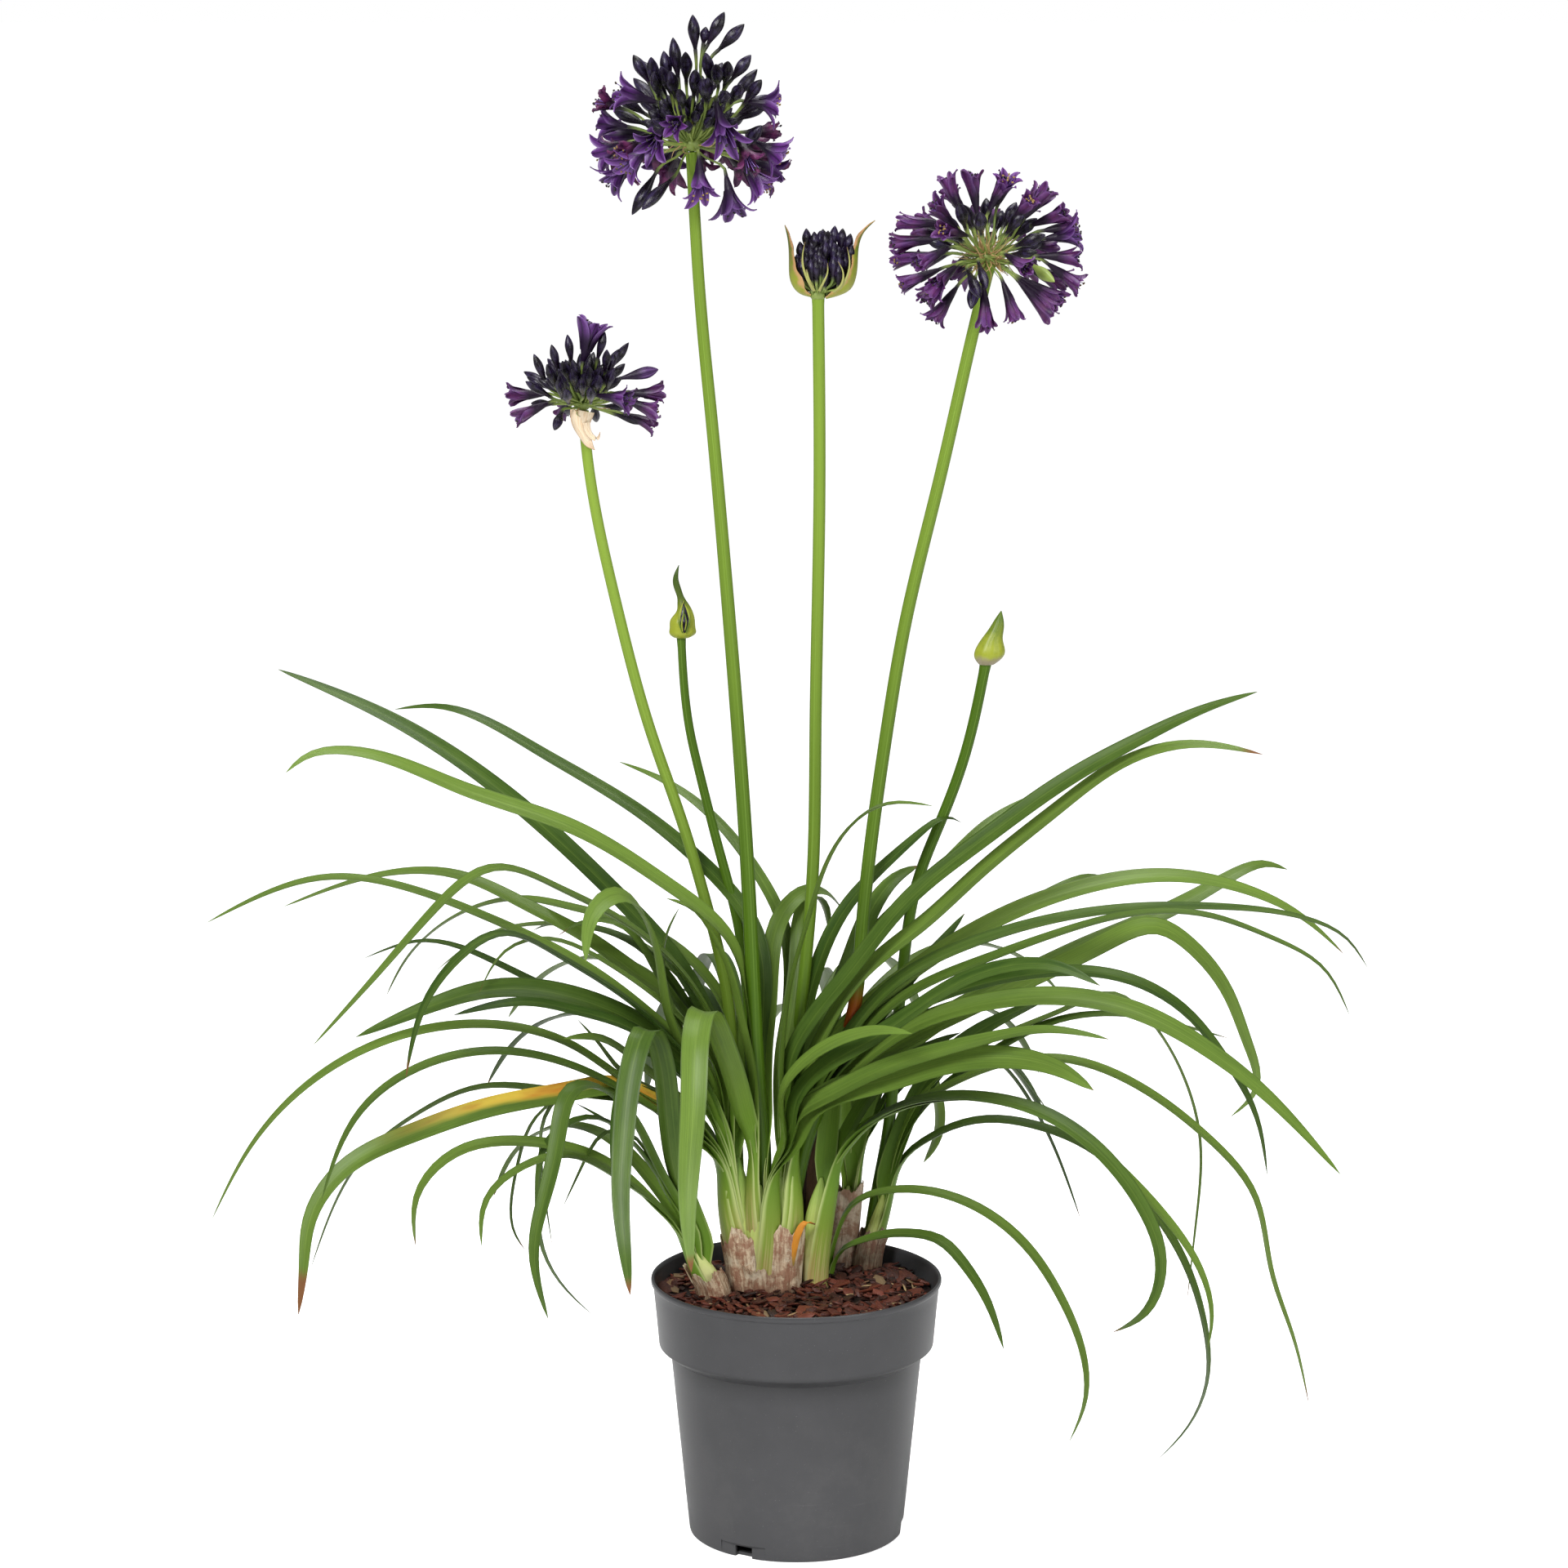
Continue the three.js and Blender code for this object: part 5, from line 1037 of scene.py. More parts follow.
def papery_sheath(skin, rows, high, tear, tint, seed):
    """A crumpled tube of paper round a column, torn at its top and a little open there."""
    dice = np.random.default_rng(seed)
    angle = angles(SHEATH_SIDES)
    top = high + ragged(angle, dice, tear)
    share = np.linspace(0, 1, SHEATH_ROWS)[:, None]
    heights = SHEATH_FOOT + share * (top - SHEATH_FOOT)
    centre, wide, deep = column_at(rows, heights.ravel())
    centre = centre.reshape(*heights.shape, 3)
    wide, deep = wide.reshape(heights.shape), deep.reshape(heights.shape)
    out = SHEATH_LIFT
    for folds in CRUMPLES:
        depth = dice.uniform(0.1, 0.4)
        out = out + depth * np.sin(folds * angle + dice.uniform(0, 6) + share * dice.uniform(-3, 3))
    out = out + SHEATH_FLARE * share**4 * (0.6 + 0.4 * np.sin(3 * angle + dice.uniform(0, 6)))
    outside = oval(centre, EAST, NORTH, wide + out + SHEATH_THICKNESS, deep + out + SHEATH_THICKNESS, angle)
    inside = oval(centre, EAST, NORTH, wide + out, deep + out, angle)
    outside[..., 2] = inside[..., 2] = heights
    place = mark_of(angle, heights * 0.001, share)
    kind = (dice.uniform(0, 1), *tint)
    skin.cover([*outside, *inside[::-1]], place=[*place, *place[::-1]], kind=kind, loop=True)


def sheath_paper():
    """Dry fibrous paper, beige to brown, with dark upright fibres, grey patches, a stained foot and a
    purple-brown tint, which at its darkest is painted shade.
    """
    material, wire = new_material("sheath_paper")
    angle, height, _ = wire.mark("place")
    number, purple_and_painted_shade, grey = wire.mark("kind")
    spot = wire.spot()
    fibres = wire.noise(wire.vector(angle * 7, height * 60, number * 30), 1, 4, 0.7)
    strands = wire.noise(wire.vector(angle * 24, height * 70, number * 30), 1, 2, 0.6)
    patches = wire.noise(spot, 75, 5, 0.7)
    brown = fibres.fade(0.35, 0.65).blend(paint(150, 114, 86), paint(220, 198, 166))
    brown = (patches.fade(0.5, 0.6) * 0.75).blend(brown, paint(146, 96, 72))
    brown = (patches.fade(0.46, 0.38) * 0.7).blend(brown, paint(226, 212, 184))
    brown = (strands.fade(0.56, 0.72) * 0.3).blend(brown, paint(112, 80, 62))
    # purple-brown: the real tint of some sheaths, and at its darkest the painted shade of the strip behind
    # the fans
    brown = (purple_and_painted_shade * 0.75).blend(brown, paint(70, 50, 44))
    ash = patches.fade(0.4, 0.6).blend(paint(222, 202, 184), paint(176, 142, 122))
    brown = (grey * 0.75).blend(brown, ash)
    brown = (height + fibres * 0.02).fade(0.22, 0.198).blend(brown, paint(112, 82, 62))
    wire.finish(brown, 0.6 + fibres * 0.3, fibres * 0.4 + patches * 0.6, 0.003, Specular_IOR_Level=0.3)
    return material


SHEATH_PAPER = sheath_paper()
# Each: columns with the height that their sheath reaches, depth of its tears, and how purple and how grey.
SHEATHS = {
    "sheath_centre": ([(LEFT_FAN, 240), (FRONT_FOLD, 212), (RIGHT_FAN, 243)], 15, (0.0, 0.15)),
    "sheath_left": ([(LEFT_SHOOT, 217)], 8, (0.15, 0.0)),
    "sheath_back": ([(BACK_SHOOT, 262)], 7, (0.0, 0.9)),
    "sheath_right": ([(RIGHT_SHOOT, 226)], 10, (0.8, 0.1)),
}
# A dark strip of painted shade behind the two fans, shaped as the dead base of an old leaf: [x, y, z, half
# width, cup]
SHADE_STRIP = [
    [8, 24, 190, 9, 2], [9, 25, 240, 9, 2], [10, 26, 285, 8, 1.5], [12, 27, 325, 5, 1],
    [14, 28, 350, 0.5, 0],
]
for number, (name, (columns, tear, tint)) in enumerate(SHEATHS.items()):
    sheath_skin = Skin()
    if name == "sheath_centre":
        # painted shade: the strip takes more than full purple-brown, so it stays dark
        cupped(sheath_skin, SHADE_STRIP, EAST, NORTH, 0.8, 20, kind=(0.5, 1.4, 0))
    for k, (rows, high) in enumerate(columns):
        papery_sheath(sheath_skin, rows, high, tear, tint, 50 + 10 * number + k)
    sheath_skin.piece("dry_" + name, name, "papery_sheath", SHEATH_PAPER, sharp=60)

# ---- Withered strip -----------------------------------------------------------------------------
# A small leaf that died young and still stands between two columns: a soft strip, orange and yellow
# with brown lines, bent over at its tip.
def withered():
    """Dying leaf: orange and yellow, with brown lines and a darker tip."""
    material, wire = new_material("withered_strip")
    share, across, _ = wire.mark("place")
    lines = wire.noise(wire.vector(across * 8, share * 3, 0.3), 1, 3, 0.6)
    orange = lines.blend(paint(196, 106, 22), paint(232, 166, 48))
    orange = share.fade(0.3, 0.0).blend(orange, paint(150, 128, 60))
    orange = share.fade(0.86, 1.0).blend(orange, paint(110, 66, 30))
    wire.finish(orange, 0.5 + lines * 0.2, lines, 0.0004)
    return material


WITHERED = [
    [-4, -3.5, 217, 2.2, 0.4], [-2, -4.5, 232, 3, 0.6], [2, -5, 246, 2.8, 0.6], [7, -4, 253, 2, 0.4],
    [15, -1, 251, 0, 0],
]
withered_skin = Skin()
cupped(withered_skin, WITHERED, EAST, NORTH, 0.9, 22, wave=0.4)
withered_skin.piece("withered_strip", "withered_leaf", "withered_leaf", withered())

# ---- Flower stalks ------------------------------------------------------------------------------
# Smooth, solid, leafless scapes that rise from between the leaf bases of their shoots, a little
# flattened and finely ribbed, darker green below and lighter towards the flowers.
STALK_STEP, STALK_SIDES = 9.0, 28
STALK_FLATNESS = 0.94
STALK_SWELL, SWELL_RUN = 0.5, 5  # how much it thickens where the flowers spring from it, and over what length


def stalk(name, root_radius, top_radius, lightness, red, path):
    line, along, run = smooth_line(path, STALK_STEP)
    share = (run / run[-1])[:, None]
    u = square_to(along, EAST)
    v = np.cross(along, u)
    angle = angles(STALK_SIDES)
    rib = 1 + 0.014 * np.cos(7 * angle) + 0.01 * np.cos(12 * angle + 1)
    swell = STALK_SWELL * np.exp(-((1 - share) * run[-1] / SWELL_RUN) ** 2)
    radius = (mix(root_radius, top_radius, share) + swell) * rib
    rings = oval(line[:, None], u[:, None], v[:, None], radius, STALK_FLATNESS * radius, angle)
    place = mark_of(share, angle, line[:, 2:] * 0.001)
    skin = Skin()
    skin.cover(rings, place=place, kind=(lightness, red, len(path) * 0.37))
    skin.piece("scape_" + name, "stalk_" + name, "flower_stalk", STALK_GREEN)


def stalk_green():
    """Smooth green stalk with fine pale lines along it, darker at the foot and paler at the top."""
    material, wire = new_material("stalk_green")
    _, angle, height = wire.mark("place")
    lightness, red, number = wire.mark("kind")
    lines = wire.noise(wire.vector(angle * 6, height * 2.5, number * 9), 1, 3, 0.6)
    fine = wire.noise(wire.vector(angle * 22, height * 8, number * 9), 1, 2)
    cloud = wire.noise(wire.vector(angle * 0.8, height * 7, number * 5), 1, 3)
    pale = height.fade(0.35, 0.95) * 0.65 + lightness * 0.6 + cloud * 0.3 - 0.28
    green = pale.blend(paint(64, 94, 10), paint(132, 158, 56))
    green = (lines.fade(0.5, 0.72) * (height.fade(0.35, 0.8) * 0.2 + 0.14)).blend(green, paint(150, 184, 84))
    green = (fine.fade(0.6, 0.4) * 0.16).blend(green, paint(58, 88, 24))
    blush = red * height.fade(0.445, 0.415) * height.fade(0.35, 0.4)
    green = (blush * 0.85).blend(green, paint(176, 74, 26))
    wire.finish(green, 0.34 + lines * 0.14, lines * 0.5 + fine * 0.5, 0.0001, Specular_IOR_Level=0.2)
    return material


STALK_GREEN = stalk_green()
# Each: radius at its root and at its top, how light its green is, whether its foot is flushed red, and its
# path of [x, y, z].
STALKS = {
    "tall": (6.3, 4.2, 0.1, 0, [
        [-27, 12, 225], [-26, 11, 268], [-26, 7, 310], [-29, 0, 350], [-33, -6, 422], [-37, -5, 515],
        [-45, -3, 643], [-55, -1, 771], [-66, 0, 897], [-72, 0, 960], [-80, 0, 1092],
    ]),
    "middle": (5, 4.6, 0.45, 0, [
        [-8, 16, 235], [-5, 21, 290], [2, 26, 400], [12.8, 28, 528], [14.8, 29, 638], [17.7, 30, 831],
        [16.4, 30, 982],
    ]),
    "right": (5.6, 4.6, 0.2, 1, [
        [-6, 20, 235], [3, 23, 290], [22, 25, 350], [44, 26, 412], [51, 26, 475], [61, 28, 573],
        [70, 28, 638], [85, 28, 729], [110, 27, 837], [134, 26, 946], [148, 25, 1006],
    ]),
    "left": (4.8, 4.1, 0.85, 0, [
        [-44, 12, 235], [-46, 16, 285], [-50, 24, 380], [-57, 28, 445], [-69, 30, 496], [-91, 30, 573],
        [-113, 30, 638], [-140, 30, 741], [-161, 30, 850], [-165, 30, 892],
    ]),
    "left_bud": (4.8, 3.2, -0.4, 0, [
        [-34, 14, 235], [-32, 23, 285], [-36, 34, 380], [-46, 38, 485], [-61, 40, 545], [-77, 40, 610],
        [-83, 40, 637], [-90, 40, 714.5],
    ]),
    "right_bud": (4.8, 4.2, -0.4, 0, [
        [60, 72, 225], [66, 76, 262], [73, 79, 300], [80, 76, 380], [86, 71, 450], [97, 67, 516],
        [113, 66, 559], [132, 65, 612], [149, 64, 690],
    ]),
}
for name, sizes in STALKS.items():
    stalk(name, *sizes)

# ---- Flower heads -------------------------------------------------------------------------------
# Umbels: every floret stands on its own thin green pedicel, and all of them spring from the end of
# the stalk. A bud is a dark pointed spindle. An open floret is a narrow tube that parts into six
# tepals, paler at their margins and dark along the middle, with six curved stamens.
TEPALS = 6
TEPAL_STATIONS, TEPAL_SIDES = 10, 9
TEPAL_THICKNESS = 0.45
TUBE_SIDES, BUD_SIDES, CORE_SIDES = 18, 24, 16
GOLDEN_SHARE = 0.618
# Radii along a thin rod, from its foot to its tip
PEDICEL_RADII = (0.95, 0.85, 0.85, 0.9, 1.1, 1.6)
FILAMENT_RADII = (0.42, 0.32, 0.3)
ANTHER_RADII, ANTHER_HALF = (0.2, 0.75, 0.8, 0.75, 0.2), 1.2
SCRAP_RADII = (0.6, 0.45, 0.15)
BOW = 0.22  # how far the pedicel of an upright floret bows outward

BUD_FOOT, TUBE_FOOT = 1.15, 1.2  # radius where a bud and an open floret leave their pedicel
# Radius where a bud is widest, and where along its length that is.
BUD = {"swell": 4.5, "swell_at": 0.6}
SLIM_BUD = {"swell": 3.2, "swell_at": 0.6}
SMALL_BUD = {"swell": 3.6, "swell_at": 0.58}
RIPE_BUD = {"swell": 4.6, "swell_at": 0.7, "ripe": 0.85}
POD = {"swell": 4.2, "swell_at": 0.5, "green": True}
# Radii of the tube and of the petal tips, where each lies, half width of a tepal, and how faded it is.
OPEN = {"throat": 3.9, "throat_at": 0.36, "petal": 20, "petal_at": 0.92, "half": 5.0, "faded": 0.0}
UPRIGHT = {"throat": 4.6, "throat_at": 0.3, "petal": 17, "petal_at": 1.0, "half": 5.6, "faded": 0.0}
OPENING = {"throat": 3.6, "throat_at": 0.42, "petal": 13, "petal_at": 0.95, "half": 4.0, "faded": 0.1}
FADED = {"throat": 3.8, "throat_at": 0.36, "petal": 15, "petal_at": 0.97, "half": 4.3, "faded": 1.0}
TRUMPET = {"throat": 4.0, "throat_at": 0.45, "petal": 10.5, "petal_at": 1.0, "half": 4.1, "faded": 0.4}


def seeded(seed):
    """Even draws from 0 to 1, by the same rule that places florets in the solids."""
    state = seed
    while True:
        state = (state * 1664525 + 1013904223) % 4294967296
        yield state / 4294967296


def across_of(axis):
    """Two directions that stand square to an axis and to each other, in right-hand order."""
    u = np.cross(UP if abs(axis @ UP) < 0.9 else EAST, axis)
    u /= np.linalg.norm(u)
    return u, np.cross(axis, u)


def rod(skin, points, radii, sides, kind, layer, step):
    """A thin round rod along a smooth line, its radius given at even shares of it."""
    line, along, run = smooth_line(points, step)
    share = (run / run[-1])[:, None]
    radius = np.interp(share, np.linspace(0, 1, len(radii)), radii)
    u = square_to(along, across_of(unit(line[-1] - line[0]))[0])
    rings = oval(line[:, None], u[:, None], np.cross(along, u)[:, None], radius, radius, angles(sides))
    skin.cover(rings, place=mark_of(share, angles(sides), run[:, None] * 0.001), kind=kind, layer=layer)


def round_tepals(angle):
    """Where the points round a bud or a tube lie across their tepals, from -1 to 1."""
    return 2 * np.mod(angle * TEPALS / (2 * np.pi) + 0.5, 1) - 1


def bud(skin, foot, axis, length, kind, hue):
    """A closed floret: a spindle with a low ridge for each tepal."""
    u, v = across_of(axis)
    share = np.concatenate([np.linspace(0, 0.9, 13), [0.95, 0.985, 1.0]])[:, None]
    rise = np.clip(share / kind["swell_at"], 0, 1)
    fall = np.clip((share - kind["swell_at"]) / (1 - kind["swell_at"]), 0, 1)
    radius = mix(BUD_FOOT, kind["swell"], np.sin(rise * np.pi / 2) ** 1.6) * (1 - fall**1.6) ** 0.82 + 0.12
    angle = angles(BUD_SIDES)
    radius = radius * (1 + (0.07 * np.cos(3 * angle) + 0.035 * np.cos(6 * angle)) * np.sin(np.pi * share))
    rings = oval(foot + (share * length)[..., None] * axis, u, v, radius, radius, angle)
    if "green" in kind:
        skin.cover(rings, place=mark_of(share * 0.6, angle, 0.0), kind=(0, hue, 0), layer=1)
    else:
        skin.cover(rings, place=mark_of(share, round_tepals(angle), 1.0), kind=(kind.get("ripe", 0), 0, hue))


def tube(skin, foot, axis, length, kind, hue, dice):
    """The lower part of an open floret, where its tepals are joined. It dents as the floret fades."""
    share = np.linspace(0, 1.12, 6)[:, None]
    angle = angles(TUBE_SIDES)
    dent = 0.16 * kind["faded"] * share * np.sin(3 * angle + dice.uniform(0, 6) + 2 * share)
    rib = 1 + 0.06 * np.cos(6 * angle) + dent
    radius = mix(TUBE_FOOT, kind["throat"], np.clip(share, 0, 1) ** 0.8) * rib
    middle = foot + (share * (kind["throat_at"] * length))[..., None] * axis
    rings = oval(middle, *across_of(axis), radius, radius, angle)
    place = mark_of(share * kind["throat_at"], round_tepals(angle), 1.0)
    skin.cover(rings, place=place, kind=(0.8, kind["faded"], hue))


def tepal(skin, foot, axis, outward, side, length, width, kind, hue, dice):
    """One tepal: it leaves the tube's throat, curls outward and twists. Faded ones hang and crumple more."""
    faded = kind["faded"]
    q = np.linspace(0, 1, TEPAL_STATIONS)[:, None]
    reach = kind["petal"] * dice.uniform(0.72 - 0.4 * faded, 1.08 + 0.2 * faded)
    end = length * kind["petal_at"] * dice.uniform(0.93 - 0.16 * faded, 1.04)
    far = mix(kind["throat"] * 0.86, reach, q ** dice.uniform(1.15, 1.7))
    high = mix(kind["throat_at"] * length * 0.9, end, np.sin(q * np.pi / 2 * dice.uniform(0.86, 1.06)))
    line = foot + far * outward + high * axis + dice.uniform(-1.6, 1.6) * q**2 * side
    along = unit(np.gradient(line, axis=0))
    edge = square_to(along, side)
    face = np.cross(edge, along)
    twist = dice.uniform(-1, 1) * (0.5 + 0.9 * faded) * q
    edge, face = edge * np.cos(twist) + face * np.sin(twist), face * np.cos(twist) - edge * np.sin(twist)
    across, inside = both_faces(TEPAL_SIDES)
    half = kind["half"] * width * np.sin(np.pi * (0.2 + 0.8 * q)) ** 0.75 + 0.1
    cup = half * (0.36 + 0.2 * dice.uniform(-1, 1))
    ripple = np.sin(q * 9 + dice.uniform(0, 6) + 3 * across) * q * np.abs(across) * (0.5 + 1.5 * faded)
    out = TEPAL_THICKNESS / 2 * inside - cup * across**2 + ripple
    rings = line[:, None] + edge[:, None] * (half * across)[..., None] + face[:, None] * out[..., None]
    place = mark_of(mix(kind["throat_at"], 1, q), across, inside)
    skin.cover(rings, place=place, kind=(1, faded, (hue + dice.uniform(-0.1, 0.1)) % 1))


def stamen(skin, foot, axis, outward, throat_at, reach, spread, hue, dice):
    """A filament that starts in the tube and curves out, with an anther across its tip."""
    bends = [(throat_at * 0.7, 0.8), (mix(throat_at, reach, 0.5), spread * 0.5), (reach, spread)]
    points = [foot + axis * high + outward * out for high, out in bends]
    rod(skin, points, FILAMENT_RADII, 5, (0, hue, 0), 2, 3.0)
    way = ANTHER_HALF * unit(outward + axis * dice.uniform(-0.4, 0.8))
    rod(skin, [points[-1] - way, points[-1], points[-1] + way], ANTHER_RADII, 6, (1, hue, 0), 2, 0.5)


def star(skin, foot, axis, length, kind, hue, dice):
    """An open floret: its tube, six tepals, six stamens and its style."""
    u, v = across_of(axis)
    tube(skin, foot, axis, length, kind, hue, dice)
    turn = dice.uniform(0, 1)
    for k in range(TEPALS):
        phi = 2 * np.pi * (k + turn + dice.uniform(-0.08, 0.08)) / TEPALS
        outward, side = math.cos(phi) * u + math.sin(phi) * v, math.cos(phi) * v - math.sin(phi) * u
        tepal(skin, foot, axis, outward, side, length, 1 if k % 2 else 0.84, kind, hue, dice)
    for k in range(TEPALS + 1):
        phi = 2 * np.pi * (k + 0.5 + turn) / TEPALS
        spread = 0.6 if k == TEPALS else kind["petal"] * dice.uniform(0.22, 0.38)
        reach = length * dice.uniform(0.8, 0.97)
        outward = math.cos(phi) * u + math.sin(phi) * v
        stamen(skin, foot, axis, outward, kind["throat_at"] * length, reach, spread, hue, dice)


def pedicel(skin, centre, foot, axis, dice):
    """The thin stem of one floret: out from the centre, then bent the way that its floret looks."""
    out = foot - centre
    reach = np.linalg.norm(out)
    bow = out * [1, 1, 0] / reach * BOW * max(0, axis[2]) + across_of(axis)[0] * dice.uniform(-0.04, 0.04)
    points = [centre + out * 0.05, centre + out * 0.5 + bow * reach, foot - axis * reach * 0.12, foot + axis]
    rod(skin, points, PEDICEL_RADII, 7, (0, dice.uniform(0, 1), 0), 1, 5.0)


def petals():
    """Violet tepals, near black in bud, with painted grey highlights on the buds, a dark middle line and
    paler margins.
    """
    material, wire = new_material("petals")
    share, across, inside = wire.mark("place")
    opened, faded, number = wire.mark("kind")
    veins = wire.noise(wire.vector(across * 5, share * 2, number * 80), 1, 3, 0.6)
    cloud = wire.noise(wire.spot(), 160, 3, 0.6)
    black = (cloud.fade(0.35, 0.7)).blend(paint(9, 5, 12), paint(30, 14, 38))
    # painted highlight: grey-lavender streaks down the middle of a bud's tepals, where light glints on it
    painted_glint = across.size().fade(0.95, 0.2) * share.fade(0.15, 0.6)
    painted_glint = painted_glint * (veins * 0.2 + cloud * 0.8).fade(0.4, 0.65)
    black = (painted_glint * 0.22).blend(black, paint(84, 80, 124))
    black = (across.size().fade(0.8, 1.0) * 0.6).blend(black, paint(8, 6, 11))
    hue = (number * 0.7 + cloud * 0.5).fade(0.25, 0.95)
    violet = hue.blend(paint(52, 20, 72), paint(98, 47, 124))
    violet = (across.size().fade(0.4, 0.95) * 0.5).blend(violet, paint(150, 112, 180))
    violet = (across.size().fade(0.3, 0.02) * 0.8).blend(violet, paint(34, 10, 50))
    violet = (veins.fade(0.5, 0.75) * 0.4).blend(violet, paint(38, 14, 58))
    violet = share.fade(0.7, 0.4).blend(violet, paint(24, 8, 32))
    violet = (inside.fade(-0.2, 0.6) * 0.25).blend(violet, paint(38, 16, 56))
    old = (cloud + veins * 0.5).fade(0.5, 0.95).blend(paint(50, 18, 52), paint(100, 40, 84))
    old = (veins.fade(0.55, 0.7) * across.size().fade(0.2, 0.7) * 0.35).blend(old, paint(150, 112, 158))
    old = share.fade(0.66, 0.4).blend(old, paint(26, 8, 26))
    tone = (faded * (0.55 + cloud * 0.9)).blend(violet, old)
    tone = opened.blend(black, tone)
    roughness = 0.2 + opened * 0.14 + veins * 0.12
    wire.finish(tone, roughness, veins * 0.6 + cloud * 0.4, 0.00025, Specular_IOR_Level=0.3)
    return material


def pedicel_green():
    """Thin green stems of varied lightness, dark where they meet a floret. Dead ones are tan."""
    material, wire = new_material("pedicel_green")
    share, angle, run = wire.mark("place")
    tan, number, _ = wire.mark("kind")
    lines = wire.noise(wire.vector(angle * 2, run * 60, number * 40), 1, 2)
    green = (lines * 0.8 + number * 0.5 - 0.15).blend(paint(74, 98, 34), paint(156, 172, 86))
    green = share.fade(0.8, 1.0).blend(green, paint(34, 32, 30))
    green = tan.blend(green, lines.blend(paint(150, 110, 66), paint(206, 176, 124)))
    wire.finish(green, 0.45 + lines * 0.15, lines, 0.0001)
    return material


def stamens():
    """Violet filaments with dark anthers, some of them dusted with yellow pollen."""
    material, wire = new_material("stamens")
    anther, number, _ = wire.mark("kind")
    grains = wire.noise(wire.spot(), 900, 2)
    pollen = (number + grains * 0.6).fade(0.95, 1.25) * 0.8
    tip = pollen.blend(paint(40, 32, 36), paint(160, 130, 70))
    filament = grains.blend(paint(86, 52, 130), paint(140, 108, 176))
    wire.finish(anther.blend(filament, tip), 0.6 + grains * 0.2, grains, 0.0001)
    return material


PETALS, PEDICEL_GREEN, STAMENS = petals(), pedicel_green(), stamens()

# Rows: [kind, foot [x, z], tip [x, z] from the head's centre, facing from -1, the front, to 1, the back]
TALL_FLORETS = [
    [SMALL_BUD, [9, 75], [11, 88], -0.1],
    [BUD, [-28, 43], [-30, 66], -0.6],
    [BUD, [20, 44], [19, 61], -0.7],
    [BUD, [-16, 40], [-22, 60], -0.9],
    [BUD, [2, 38], [4, 58], -1],
    [BUD, [12, 34], [13, 52], -1],
    [BUD, [30, 32], [38, 46], -0.9],
    [SMALL_BUD, [-6, 30], [-8, 44], -1],
    [OPENING, [-6, 22], [-14, 29], -0.8],
    [FADED, [-53, 27], [-74, 34], -0.2],
    [FADED, [35, 7], [51, -14], -0.8],
    [FADED, [-34, 4], [-58, 2], -0.7],
    [BUD, [3, 70], [1, 97], 0],
    [BUD, [12, 74], [25, 99], 0],
    [BUD, [20, 70], [40, 90], 0],
    [BUD, [-32, 46], [-44, 67], 0],
    [BUD, [-17, 45], [-21, 70], 0],
    [BUD, [-10, 49], [-14, 80], 0],
    [BUD, [-4, 47], [-4, 70], -0.6],
    [BUD, [14, 47], [11, 69], -0.3],
    [BUD, [25, 45], [28, 63], -0.6],
    [BUD, [30, 48], [45, 67], 0],
    [BUD, [40, 31], [53, 49], -0.4],
    [BUD, [-25, 37], [-27, 56], -0.9],
    [BUD, [-12, 37], [-15, 57], -1],
    [BUD, [11, 35], [9, 51], -1],
    [BUD, [23, 33], [27, 41], -1],
    [BUD, [40, -2], [53, 15], -0.3],
    [BUD, [-27, -21], [-45, -52], -0.5],
    [BUD, [-15, -25], [-37, -47], -0.7],
    [OPEN, [-26, 32], [-59, 43], -0.4],
    [OPEN, [-48, 13], [-72, 17], 0],
    [OPEN, [-20, 14], [-34, 14], -1],
    [OPEN, [-51, 0], [-73, -6], 0.3],
    [OPEN, [-30, 2], [-56, -14], -0.8],
    [OPEN, [-45, -12], [-68, -31], -0.3],
    [OPEN, [19, 33], [30, 13], -0.9],
    [OPEN, [42, 32], [68, 29], 0],
    [OPEN, [48, 2], [72, -11], 0],
    [OPEN, [35, -8], [59, -36], -0.4],
    [OPEN, [26, -22], [34, -55], -0.6],
    [OPEN, [6, -8], [9, -36], -0.9],
]
